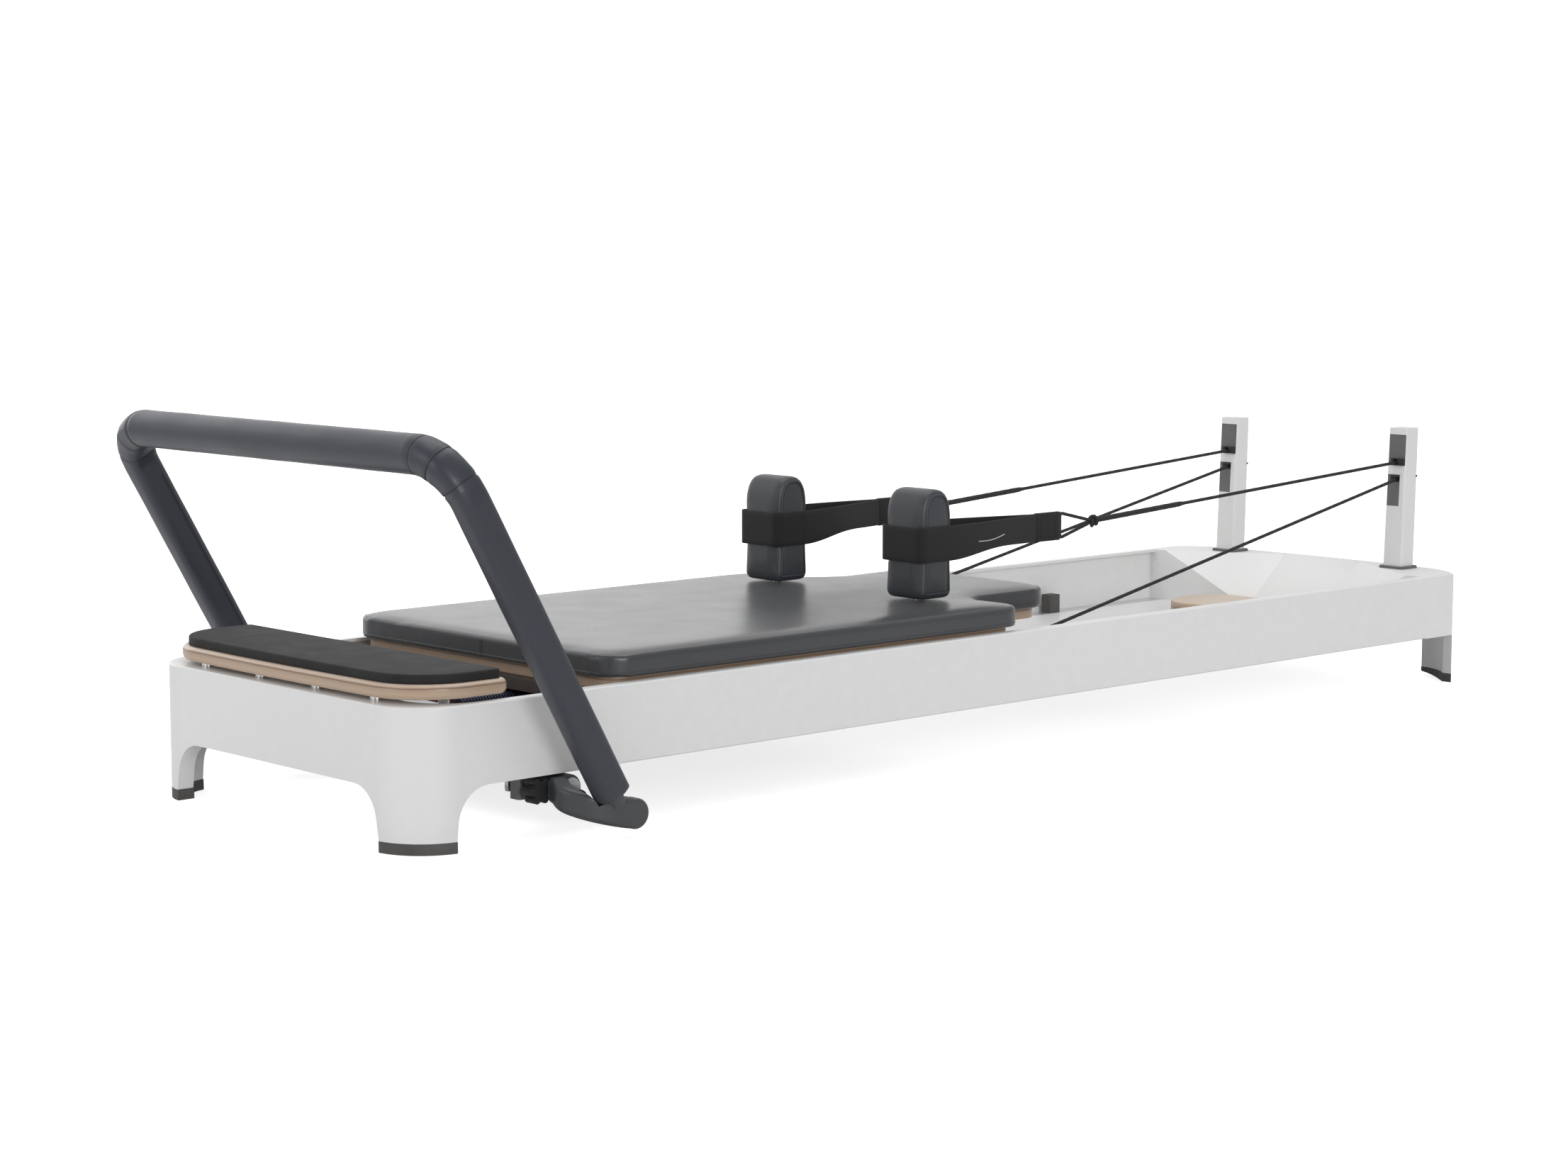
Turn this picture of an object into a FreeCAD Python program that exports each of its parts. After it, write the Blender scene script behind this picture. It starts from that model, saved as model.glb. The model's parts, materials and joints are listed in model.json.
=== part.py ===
import FreeCAD, Part
import math
import os

os.makedirs("parts", exist_ok=True)

# Pilates reformer, millimetres. Stations along X run from the foot end towards the head end.
# Y = 0 is the long centre line, left is +Y, and Z = 0 is the floor.
# The export moves every piece so that X = 0 is the middle of the whole machine.

# Overall sizes
FOOT_FACE = -16.0
HEAD_FACE = 2374.0
HALF_WIDTH = 330.0
RAIL_TOP = 200.0
RAIL_BOTTOM = 88.0

# Frame
WALL = 10.0
FOOT_CORNER = 85.0
FOOT_JOINT = 272.0
FOOT_FLANGE = 51.0
PAD_HEIGHT = 16.0
LEG_WALL = 26.0
LEG_REAR = 57.0
LEG_FILLET = 52.0
HEAD_SEAM = 2231.0
HEAD_WALL = 13.0
HEAD_LEG_INNER = 237.0
HEAD_BOW = 11.0
HEAD_LEG_FOOT = 2312.0
RAIL_WALL = 5.0
TRACK_TOP = 104.0
TRAY_HALF = 289.5
TRAY_THICKNESS = 3.0
HEAD_BOARD_THICKNESS = 26.0

# Standing platform
PLATFORM_FRONT = 0.0
PLATFORM_BACK = 152.0
PLATFORM_HALF = 310.0
BOARD_GROWTH = 9.0
BOARD_LOW = 206.0
BOARD_HIGH = 227.0
MAT_HIGH = 240.0

# Footbar and its lock
PIVOT_X = 245.0
PIVOT_Z = 66.0
BAR_X = -3.0
BAR_Z = 540.0
BAR_LEAN = 29.4
BAR_RADIUS = 25.0
ARM_Y = 405.0
BEND_RADIUS = 70.0
ARM_LENGTH = 547.0
ARM_DEPTH = 48.0
ARM_WIDTH = 42.0
TUBE_RADIUS = 16.0
SHAFT_RADIUS = 12.0
RUNNING = 0.05
INDEX_ANGLES = (0.0, 20.0, 40.0, 60.0)
INDEX_Y = -262.0
INDEX_RADIUS = 41.0
LOCK_RADIUS = 3.5
MIDDLE = (HEAD_FACE + BAR_X - BAR_RADIUS) / 2

# Carriage
PAD_FOOT = 327.0
PAD_SHOULDER = 1188.0
PAD_HEAD = 1412.0
PAD_HALF = 323.0
PAD_BOTTOM = 205.0
PAD_TOP = 240.0
BOARD_THICKNESS = 18.0
WHEEL_RADIUS = 25.0
WHEEL_Y = 304.0
WHEEL_STATIONS = (432.0, 1132.0)
GUIDE_RADIUS = 14.0
GUIDE_STATIONS = (540.0, 1060.0)
ROLL_GAP = 0.2
TRAVEL = 750.0

# Shoulder rests and straps
REST_X = 1092.0
REST_Y = 168.0
REST_BASE = 242.0
REST_HEIGHT = 181.0
REST_LENGTH = 76.0
REST_WIDTH = 90.0
REST_EDGE = 9.0
BAND_LOW = 305.0
BAND_HIGH = 361.0
STRAP_THICKNESS = 3.0
STRAP_END = 1402.0
KNOT_X = 1488.0
KNOT_Z = 342.0
ROPE_Y = 185.0

# Risers
POST_X = 2322.0
POST_Y = 199.0
POST_TOP = 460.0
POST_LEAN = 9.0
PULLEY_X = 2327.2
PULLEY_Z = 383.0
PULLEY_RADIUS = 14.4
ROPE_RADIUS = 3.0
ROPE_WRAP = 14.5
CLEAT = (1207.0, 205.0, 143.0)

# Springs
SPRING_BAR_X = 227.0
SPRING_Z = 150.0
SPRING_RADIUS = 13.0
SPRING_START = 246.0
SPRING_END = 760.0
SPRING_PLATE_X = 776.0
SPRING_YS = (-160.0, -80.0, 0.0, 80.0, 160.0)


def vec(x, y, z):
    return FreeCAD.Vector(x, y, z)


def box(x0, x1, y0, y1, z0, z1):
    return Part.makeBox(x1 - x0, y1 - y0, z1 - z0, vec(x0, y0, z0))


def rod_x(x0, x1, y, z, radius):
    return Part.makeCylinder(radius, x1 - x0, vec(x0, y, z), vec(1, 0, 0))


def rod_y(x, y0, y1, z, radius):
    return Part.makeCylinder(radius, y1 - y0, vec(x, y0, z), vec(0, 1, 0))


def rod_z(x, y, z0, z1, radius):
    return Part.makeCylinder(radius, z1 - z0, vec(x, y, z0), vec(0, 0, 1))


def rod_between(start, end, radius):
    run = end.sub(start)
    return Part.makeCylinder(radius, run.Length, start, run)


def mirrored(shape):
    return shape.mirror(vec(0, 0, 0), vec(0, 1, 0))


def both_sides(shape):
    return [shape, mirrored(shape)]


def line(a, b):
    return Part.makeLine(a, b)


def arc(a, b, c):
    return Part.Arc(a, b, c).toShape()


def slab(edges, thickness):
    """A plan outline raised by a thickness."""
    return Part.Face(Part.Wire(edges)).extrude(vec(0, 0, thickness))


def polygon_prism(points, direction):
    closed = list(points) + [points[0]]
    return Part.Face(Part.makePolygon(closed)).extrude(direction)


def round_edges(shape, radius, wanted):
    """Rounds the edges that a test on their middle point and direction accepts."""
    edges = []
    for edge in shape.Edges:
        middle = edge.valueAt((edge.FirstParameter + edge.LastParameter) / 2)
        ends = edge.Vertexes
        run = ends[-1].Point.sub(ends[0].Point)
        if wanted(middle, run):
            edges.append(edge)
    return shape.makeFillet(radius, edges)


def rounded_box(x0, x1, y0, y1, z0, z1, corner):
    """A box whose upright edges are rounded."""
    block = box(x0, x1, y0, y1, z0, z1)
    return round_edges(block, corner, lambda m, run: abs(run.z) > (z1 - z0) * 0.99)


def export(node, *solids):
    compound = Part.makeCompound([solid.copy() for solid in solids])
    compound.translate(vec(-MIDDLE, 0, 0))
    compound.exportStep("parts/" + node + ".step")


# Foot end: one curved casting with its two legs


def foot_plan(front_inset, side_inset, corner, rear, z):
    """The plan outline of the foot end, drawn in from its outer faces."""
    x0 = FOOT_FACE + front_inset
    y0 = HALF_WIDTH - side_inset
    bend = corner * (1 - math.sqrt(0.5))
    return [
        line(vec(rear, -y0, z), vec(x0 + corner, -y0, z)),
        arc(vec(x0 + corner, -y0, z), vec(x0 + bend, -y0 + bend, z), vec(x0, -y0 + corner, z)),
        line(vec(x0, -y0 + corner, z), vec(x0, y0 - corner, z)),
        arc(vec(x0, y0 - corner, z), vec(x0 + bend, y0 - bend, z), vec(x0 + corner, y0, z)),
        line(vec(x0 + corner, y0, z), vec(rear, y0, z)),
        line(vec(rear, y0, z), vec(rear, -y0, z)),
    ]


def foot_wall(thickness, low, high):
    outer = slab(foot_plan(0, 0, FOOT_CORNER, FOOT_JOINT, low), high - low)
    inner = slab(foot_plan(thickness, thickness, FOOT_CORNER - thickness, FOOT_JOINT + 1, low), high - low)
    return outer.cut(inner)


def arch_cutter(profile_x, low_half, high_half, top):
    """The opening below the foot wall, with round upper corners."""
    points = [
        vec(profile_x, -low_half, -1),
        vec(profile_x, low_half, -1),
        vec(profile_x, high_half, top),
        vec(profile_x, -high_half, top),
    ]
    prism = polygon_prism(points, vec(120, 0, 0))
    return round_edges(prism, LEG_FILLET, lambda m, run: abs(run.x) > 119 and m.z > top - 1)


def side_cutter():
    """The opening below the side walls, behind the legs."""
    points = [
        vec(LEG_REAR, -400, -1),
        vec(400, -400, -1),
        vec(400, -400, RAIL_BOTTOM),
        vec(LEG_REAR + 8, -400, RAIL_BOTTOM),
    ]
    prism = polygon_prism(points, vec(0, 800, 0))
    return round_edges(prism, LEG_FILLET, lambda m, run: abs(run.y) > 799 and m.z > 80 and m.x < 100)


def foot_end_frame():
    wall = foot_wall(WALL, PAD_HEIGHT, RAIL_TOP)
    legs = foot_wall(LEG_WALL, PAD_HEIGHT, 120)
    legs = legs.common(box(FOOT_FACE - 1, LEG_REAR + 12, -400, 400, 0, 120))
    body = wall.fuse(legs)
    flange = slab(foot_plan(0, 0, FOOT_CORNER, FOOT_JOINT, RAIL_TOP - 7), 7)
    opening = slab(foot_plan(FOOT_FLANGE, 14, FOOT_CORNER - 14, FOOT_JOINT + 1, RAIL_TOP - 8), 9)
    body = body.fuse(flange.cut(opening))
    body = body.cut(arch_cutter(FOOT_FACE - 5, 256, 240, RAIL_BOTTOM))
    body = body.cut(side_cutter())
    for ledge in both_sides(box(112, FOOT_JOINT, 268, HALF_WIDTH - WALL, RAIL_BOTTOM, RAIL_BOTTOM + 6)):
        body = body.fuse(ledge)
    body = body.removeSplitter()

    def on_outer_rim(m, run):
        outer = m.x < FOOT_FACE + 0.1 or abs(m.y) > HALF_WIDTH - 0.1
        corner = m.x < FOOT_FACE + FOOT_CORNER / 2 and abs(m.y) > 300
        return m.z > RAIL_TOP - 0.1 and (outer or corner)

    return round_edges(body, 4, on_outer_rim)


def front_foot_pads():
    """Rubber shoes that follow the corner of each front leg."""
    ring = foot_wall(LEG_WALL + 1, 0, PAD_HEIGHT)
    corner = box(FOOT_FACE - 5, LEG_REAR + 2, 252, 335, -1, PAD_HEIGHT + 1)
    pad = ring.common(corner)
    return both_sides(pad)


# Head end: a bowed panel with two legs


def head_outline(inset):
    """Half of the bowed outline, as points on two arcs, for Y above zero."""
    lean = math.atan2(HEAD_BOW, HEAD_LEG_INNER) * 2
    last = math.radians(52)
    middle = (lean + last) / 2
    radius = (HALF_WIDTH - HEAD_LEG_INNER) / (math.sin(last) - math.sin(lean))
    knee = vec(HEAD_FACE - HEAD_BOW, HEAD_LEG_INNER, 0)

    def on_corner(angle, r):
        x = knee.x - radius * math.cos(lean) + r * math.cos(angle)
        y = knee.y - radius * math.sin(lean) + r * math.sin(angle)
        return vec(x, y, 0)

    return [on_corner(a, radius - inset) for a in (lean, middle, last)]


def head_plan(inset, low, front):
    """The closed plan outline of the head end, from a front station to the bowed face."""
    knee, middle, last = head_outline(inset)
    side = min(last.y, HALF_WIDTH - inset)
    last = vec(last.x, side, 0)
    centre = vec(HEAD_FACE - inset, 0, low)

    def place(point, sign):
        return vec(point.x, point.y * sign, low)

    return [
        line(vec(front, -side, low), place(last, -1)),
        arc(place(last, -1), place(middle, -1), place(knee, -1)),
        arc(place(knee, -1), centre, place(knee, 1)),
        arc(place(knee, 1), place(middle, 1), place(last, 1)),
        line(place(last, 1), vec(front, side, low)),
        line(vec(front, side, low), vec(front, -side, low)),
    ]


def head_wall(low, high, thickness):
    outer = slab(head_plan(0, low, HEAD_SEAM), high - low)
    inner = slab(head_plan(thickness, low - 1, HEAD_SEAM - 1), high - low + 2)
    return outer.cut(inner)


def head_end_frame():
    panel = head_wall(RAIL_BOTTOM, RAIL_TOP, HEAD_WALL)
    legs = head_wall(PAD_HEIGHT, RAIL_BOTTOM, HEAD_WALL)
    legs = legs.cut(box(0, HEAD_FACE + 5, -HEAD_LEG_INNER, HEAD_LEG_INNER, 0, RAIL_BOTTOM))
    legs = legs.cut(box(0, HEAD_LEG_FOOT, -400, 400, 0, RAIL_BOTTOM))
    body = panel.fuse(legs).removeSplitter()

    def on_outer_rim(m, run):
        return m.z > RAIL_TOP - 0.1 and (abs(m.y) > HALF_WIDTH - 0.5 or m.x > HEAD_FACE - HEAD_WALL + 8)

    return round_edges(body, 3, on_outer_rim)


def rear_foot_pads():
    """Rubber shoes of the head legs, with a sloping underside."""
    ring = head_wall(0, PAD_HEIGHT, HEAD_WALL + 1)
    ring = ring.cut(box(0, HEAD_LEG_FOOT, -400, 400, -1, PAD_HEIGHT + 1))
    ring = ring.cut(box(0, HEAD_FACE + 5, -HEAD_LEG_INNER, HEAD_LEG_INNER, -1, PAD_HEIGHT + 1))
    upper = ring.common(box(0, HEAD_FACE + 5, 0, 400, -1, PAD_HEIGHT + 1))
    bevel = polygon_prism([vec(2300, 236, -1), vec(2300, 300, -1), vec(2300, 236, 8)], vec(90, 0, 0))
    return both_sides(upper.cut(bevel))


def head_deck():
    """Moulded deck with a flat rim and a facetted hollow that slopes down to the floor."""
    deck = slab(head_plan(HEAD_WALL, TRACK_TOP - 7, HEAD_SEAM), RAIL_TOP - TRACK_TOP + 7)
    low = TRACK_TOP + 2
    rim_x = 2352.0
    rim_half = 88.0
    floor_half = 82.0
    seam_half = 285.0
    top = RAIL_TOP
    rim_a = vec(rim_x, -rim_half, top)
    rim_b = vec(rim_x, rim_half, top)
    seam_a = vec(HEAD_SEAM, -seam_half, top)
    seam_b = vec(HEAD_SEAM, seam_half, top)
    low_a = vec(HEAD_SEAM, -floor_half, low)
    low_b = vec(HEAD_SEAM, floor_half, low)
    outlines = [
        [seam_a, rim_a, rim_b, seam_b],
        [seam_a, low_a, low_b, seam_b],
        [low_a, rim_a, rim_b, low_b],
        [seam_a, rim_a, low_a],
        [seam_b, rim_b, low_b],
    ]
    faces = [Part.Face(Part.makePolygon(points + [points[0]])) for points in outlines]
    hollow = Part.Solid(Part.Shell(faces))
    if hollow.Volume < 0:
        hollow.reverse()
    return deck.cut(hollow)


def head_board():
    """Loose wooden standing board with round ends."""
    board = box(2062, 2222, -160, 160, TRACK_TOP, TRACK_TOP + HEAD_BOARD_THICKNESS)
    board = round_edges(board, 60, lambda m, run: abs(run.z) > 20)
    return round_edges(board, 6, lambda m, run: abs(run.z) < 1 and m.z > TRACK_TOP + 20)


# Rails and floor


def side_rail():
    """Left rail: a thin wall with a top lip and a bottom flange."""
    x0, x1 = FOOT_JOINT, HEAD_SEAM
    wall = box(x0, x1, HALF_WIDTH - RAIL_WALL, HALF_WIDTH, RAIL_BOTTOM, RAIL_TOP)
    lip = box(x0, x1, HALF_WIDTH - 18, HALF_WIDTH, RAIL_TOP - 5, RAIL_TOP)
    flange = box(x0, x1, 285, HALF_WIDTH, RAIL_BOTTOM, RAIL_BOTTOM + 5)
    rail = wall.fuse([lip, flange]).removeSplitter()
    return round_edges(rail, 3, lambda m, run: abs(run.x) > 1000 and m.y > 329.9)


def rail_track():
    """Running surface for the load wheels, on the rail's bottom flange."""
    x0, x1 = FOOT_JOINT, HEAD_SEAM
    return box(x0, x1, 290, HALF_WIDTH - RAIL_WALL, RAIL_BOTTOM + 5, TRACK_TOP)


def floor_tray():
    return box(1000, HEAD_SEAM, -TRAY_HALF, TRAY_HALF, TRACK_TOP - TRAY_THICKNESS, TRACK_TOP)


def spring_tray():
    return box(FOOT_JOINT, 1000, -TRAY_HALF, TRAY_HALF, TRACK_TOP - TRAY_THICKNESS, TRACK_TOP)


def cross_braces():
    """Flat bars between the bottom flanges, below the trays."""
    low, high = RAIL_BOTTOM, TRACK_TOP - TRAY_THICKNESS
    return [box(x - 30, x + 30, -284.5, 284.5, low, high) for x in (310.0, 980.0, 1600.0, 2195.0)]


def rail_block():
    """Small white keeper block under the right rail's lip."""
    return rounded_box(1550, 1576, -HALF_WIDTH + RAIL_WALL, -311, 181, RAIL_TOP - 5, 2)


def carriage_stops():
    """Rubber bumpers: home stops on the spring tray, end stops on the tracks."""
    stops = []
    for side in (-1, 1):
        home = rod_x(PAD_FOOT - 36, PAD_FOOT - 1, side * 225, 140, 12)
        mount = box(PAD_FOOT - 50, PAD_FOOT - 36, side * 225 - 14, side * 225 + 14, TRACK_TOP, 154)
        stops.append(home.fuse(mount))
        x0 = WHEEL_STATIONS[1] + TRAVEL + WHEEL_RADIUS + 1
        y0, y1 = sorted((side * 293.0, side * 315.0))
        stops.append(box(x0, x0 + 26, y0, y1, TRACK_TOP, TRACK_TOP + 34))
    return stops


# Standing platform


def platform_plan(grow, z):
    """Long board across the foot end: straight back, gently bowed front, large front corners."""
    back = PLATFORM_BACK + grow
    front = PLATFORM_FRONT - grow
    bow = 4.0
    half = PLATFORM_HALF + grow
    corner = 90.0 + grow
    rear_corner = 10.0 + grow
    quarter = 1 - math.sqrt(0.5)
    f0 = front + bow
    edges = [arc(vec(f0, -half + corner, z), vec(front, 0, z), vec(f0, half - corner, z))]
    middle = vec(f0 + corner * quarter, half - corner * quarter, z)
    edges.append(arc(vec(f0, half - corner, z), middle, vec(f0 + corner, half, z)))
    edges.append(line(vec(f0 + corner, half, z), vec(back - rear_corner, half, z)))
    middle = vec(back - rear_corner * quarter, half - rear_corner * quarter, z)
    edges.append(arc(vec(back - rear_corner, half, z), middle, vec(back, half - rear_corner, z)))
    edges.append(line(vec(back, half - rear_corner, z), vec(back, -half + rear_corner, z)))
    middle = vec(back - rear_corner * quarter, -half + rear_corner * quarter, z)
    edges.append(arc(vec(back, -half + rear_corner, z), middle, vec(back - rear_corner, -half, z)))
    edges.append(line(vec(back - rear_corner, -half, z), vec(f0 + corner, -half, z)))
    middle = vec(f0 + corner * quarter, -half + corner * quarter, z)
    edges.append(arc(vec(f0 + corner, -half, z), middle, vec(f0, -half + corner, z)))
    return edges


def platform_board():
    board = slab(platform_plan(BOARD_GROWTH, BOARD_LOW), BOARD_HIGH - BOARD_LOW)
    return round_edges(board, 8, lambda m, run: abs(run.z) < 1)


def platform_mat():
    mat = slab(platform_plan(0, BOARD_HIGH), MAT_HIGH - BOARD_HIGH)
    return round_edges(mat, 3, lambda m, run: abs(run.z) < 1 and m.z > MAT_HIGH - 1)


def platform_standoffs():
    """Chrome spacers between the frame and the board."""
    posts = []
    for y in (-210.0, -70.0, 70.0, 210.0):
        posts.append(rod_z(14, y, RAIL_TOP, BOARD_LOW, 9))
    for y in (-200.0, 200.0):
        posts.append(rod_z(135, y, 176, BOARD_LOW, 9))
    return posts


def platform_beam():
    """Rear support of the platform, a bar from side wall to side wall."""
    inner = HALF_WIDTH - WALL
    return box(121, 149, -inner, inner, 164, 176)


# Spring bar


def spring_bar():
    """Cross bar with five hook posts."""
    inner = HALF_WIDTH - WALL
    bar = rod_y(SPRING_BAR_X, -inner, inner, SPRING_Z - 20, 10)
    for y in SPRING_YS:
        bar = bar.fuse(rod_z(SPRING_BAR_X, y, SPRING_Z - 22, SPRING_Z + 10, 4))
    return bar


def spring(y):
    """One spring as a hollow sleeve with a straight lead at each end."""
    sleeve = rod_x(SPRING_START, SPRING_END, y, SPRING_Z, SPRING_RADIUS)
    sleeve = sleeve.cut(rod_x(SPRING_START + 3, SPRING_END - 3, y, SPRING_Z, SPRING_RADIUS - 3))
    lead = rod_x(SPRING_BAR_X + 4.3, SPRING_START + 1, y, SPRING_Z, 2)
    tail = rod_x(SPRING_END - 1, SPRING_PLATE_X - 4.3, y, SPRING_Z, 2)
    return sleeve.fuse([lead, tail])


# Footbar, drawn in an upright plane and then leaned back about its top


def lean(shape):
    placed = shape.copy()
    placed.rotate(vec(0, 0, 0), vec(0, 1, 0), -BAR_LEAN)
    placed.translate(vec(BAR_X, 0, BAR_Z))
    return placed


def bar_run(straight_radius, bend_radius, arm):
    """The U of the footbar: a straight top, two bends and two arms of a given half shape."""
    inner = ARM_Y - BEND_RADIUS
    top = rod_y(0, -inner, inner, 0, straight_radius)
    ring = Part.makeTorus(BEND_RADIUS, bend_radius, vec(0, inner, -BEND_RADIUS), vec(1, 0, 0))
    quarter = ring.common(box(-60, 60, inner, inner + 120, -BEND_RADIUS, 60))
    pieces = [top]
    for piece in (quarter, arm):
        pieces += both_sides(piece)
    return pieces[0].fuse(pieces[1:])


def footbar_tube():
    arm = rod_z(0, ARM_Y, -ARM_LENGTH + 1, -BEND_RADIUS, TUBE_RADIUS)
    outer = bar_run(TUBE_RADIUS, TUBE_RADIUS, arm)
    bore = TUBE_RADIUS - 2.5
    hollow = bar_run(bore, bore, rod_z(0, ARM_Y, -ARM_LENGTH - 5, -BEND_RADIUS, bore))
    return lean(outer.cut(hollow))


def footbar_cover():
    """Padded sleeve: round on top and in the bends, rounded square on the arms."""
    half_depth, half_width = ARM_DEPTH / 2, ARM_WIDTH / 2
    arm = box(-half_depth, half_depth, ARM_Y - half_width, ARM_Y + half_width, -ARM_LENGTH, -BEND_RADIUS)
    arm = round_edges(arm, 18, lambda m, run: abs(run.z) > 400)
    outer = bar_run(BAR_RADIUS, BAR_RADIUS, arm)
    bore = TUBE_RADIUS + 0.1
    hollow = bar_run(bore, bore, rod_z(0, ARM_Y, -ARM_LENGTH - 5, -BEND_RADIUS, bore))
    return lean(outer.cut(hollow))


def crank_section(x, y, z, heading, height, thickness):
    """One upright rounded rectangle across the crank's path."""
    h = height / 2
    t = thickness / 2
    r = min(h, t) * 0.6
    q = r * (1 - math.sqrt(0.5))
    ax = math.cos(math.radians(heading + 90))
    ay = math.sin(math.radians(heading + 90))

    def point(a, b):
        return vec(x + ax * a, y + ay * a, z + b)

    edges = []
    for sa, sb in ((1, 1), (-1, 1), (-1, -1), (1, -1)):
        if sa * sb > 0:
            first, last = point(sa * t, sb * (h - r)), point(sa * (t - r), sb * h)
        else:
            first, last = point(sa * (t - r), sb * h), point(sa * t, sb * (h - r))
        edges.append(arc(first, point(sa * (t - q), sb * (h - q)), last))
    edges.insert(1, line(point(t - r, h), point(-t + r, h)))
    edges.insert(3, line(point(-t, h - r), point(-t, -h + r)))
    edges.insert(5, line(point(-t + r, -h), point(t - r, -h)))
    edges.append(line(point(t, -h + r), point(t, h - r)))
    return Part.Wire(edges)


def footbar_crank():
    """Left crank: hub on the pivot, elbow round the rail, and a grip below the arm."""
    sections = [
        crank_section(PIVOT_X - 16, 328, PIVOT_Z, 90, 36, 30),
        crank_section(PIVOT_X - 17, 338, PIVOT_Z - 2, 92, 38, 30),
        crank_section(PIVOT_X - 22, 352, PIVOT_Z - 6, 88, 38, 29),
        crank_section(PIVOT_X - 16, 372, PIVOT_Z - 13, 64, 38, 27),
        crank_section(PIVOT_X, 390, PIVOT_Z - 20, 38, 38, 26),
        crank_section(PIVOT_X + 25, 400, PIVOT_Z - 26, 15, 41, 26),
        crank_section(PIVOT_X + 57, 402, PIVOT_Z - 32, 3, 43, 26),
    ]
    crank = Part.makeLoft(sections, True, False)
    crank = crank.fuse(rod_y(PIVOT_X, 296, 336, PIVOT_Z, 20))
    tip = rod_y(PIVOT_X + 57, 389, 415, PIVOT_Z - 32, 21.5)
    tip = round_edges(tip, 5, lambda m, run: True)
    crank = crank.fuse(tip)
    half = ARM_DEPTH / 2 + 0.5
    seat = lean(box(-half - 2, half, ARM_Y - 32, ARM_Y + 32, -ARM_LENGTH - 0.3, -ARM_LENGTH + 80))
    crank = crank.cut(seat)
    spigot = lean(rod_z(0, ARM_Y, -ARM_LENGTH - 14, -ARM_LENGTH + 60, TUBE_RADIUS - 2.55))
    crank = crank.fuse(spigot)
    crank = crank.cut(rod_y(PIVOT_X, 290, 337, PIVOT_Z, SHAFT_RADIUS + 0.02))
    crank = crank.cut(rod_y(PIVOT_X, 336, 360, PIVOT_Z, 16.3))
    return crank.removeSplitter()


def stub_shaft():
    """Left pivot pin: a shank in the bearing block and a round flange outside the crank's hub."""
    return rod_y(PIVOT_X, 250, 336, PIVOT_Z, SHAFT_RADIUS).fuse(rod_y(PIVOT_X, 336, 341, PIVOT_Z, 16))


def index_plate():
    """Sector plate on the right pivot pin with one hole for each bar height."""
    y0, y1 = INDEX_Y, INDEX_Y + 8
    rim = INDEX_RADIUS + 8
    disc = rod_y(PIVOT_X, y0, y1, PIVOT_Z, rim)
    wedge = [vec(PIVOT_X, y0, PIVOT_Z)]
    for angle in (190, 150, 106):
        turn = math.radians(angle)
        wedge.append(vec(PIVOT_X + 2 * rim * math.cos(turn), y0, PIVOT_Z + 2 * rim * math.sin(turn)))
    plate = disc.common(polygon_prism(wedge, vec(0, y1 - y0, 0)))
    plate = plate.fuse(rod_y(PIVOT_X, y0, y1, PIVOT_Z, 20)).removeSplitter()
    plate = plate.cut(rod_y(PIVOT_X, y0 - 1, y1 + 1, PIVOT_Z, SHAFT_RADIUS + 0.02))
    for angle in INDEX_ANGLES:
        turn = math.radians(180 - angle)
        x = PIVOT_X + INDEX_RADIUS * math.cos(turn)
        z = PIVOT_Z + INDEX_RADIUS * math.sin(turn)
        plate = plate.cut(rod_y(x, y0 - 1, y1 + 1, z, LOCK_RADIUS + 0.3))
    return plate


def pivot_blocks():
    """Bearing blocks under the side ledges; the right one also guides the lock pin."""
    blocks = []
    for side in (-1, 1):
        y0, y1 = sorted((side * 269.0, side * 291.0))
        block = rounded_box(PIVOT_X - 53, PIVOT_X + 20, y0, y1, 50, RAIL_BOTTOM, 4)
        block = block.cut(rod_y(PIVOT_X, y0 - 1, y1 + 1, PIVOT_Z, SHAFT_RADIUS + RUNNING))
        if side < 0:
            block = block.cut(rod_y(PIVOT_X - INDEX_RADIUS, y0 - 1, y1 + 1, PIVOT_Z, LOCK_RADIUS + RUNNING))
        blocks.append(block)
    return blocks


def lock_knob():
    """Lobed knob and its pin; pushed in, the pin enters a hole of the index plate."""
    x = PIVOT_X - INDEX_RADIUS
    knob = rod_y(x, -326, -304.5, PIVOT_Z, 13)
    for step in range(6):
        turn = math.radians(60 * step)
        lobe = rod_y(x + 14 * math.cos(turn), -326, -304.5, PIVOT_Z + 14 * math.sin(turn), 5.5)
        knob = knob.fuse(lobe)
    pin = rod_y(x, -305, INDEX_Y - 1, PIVOT_Z, LOCK_RADIUS)
    return knob.fuse(pin)


# Carriage


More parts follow.
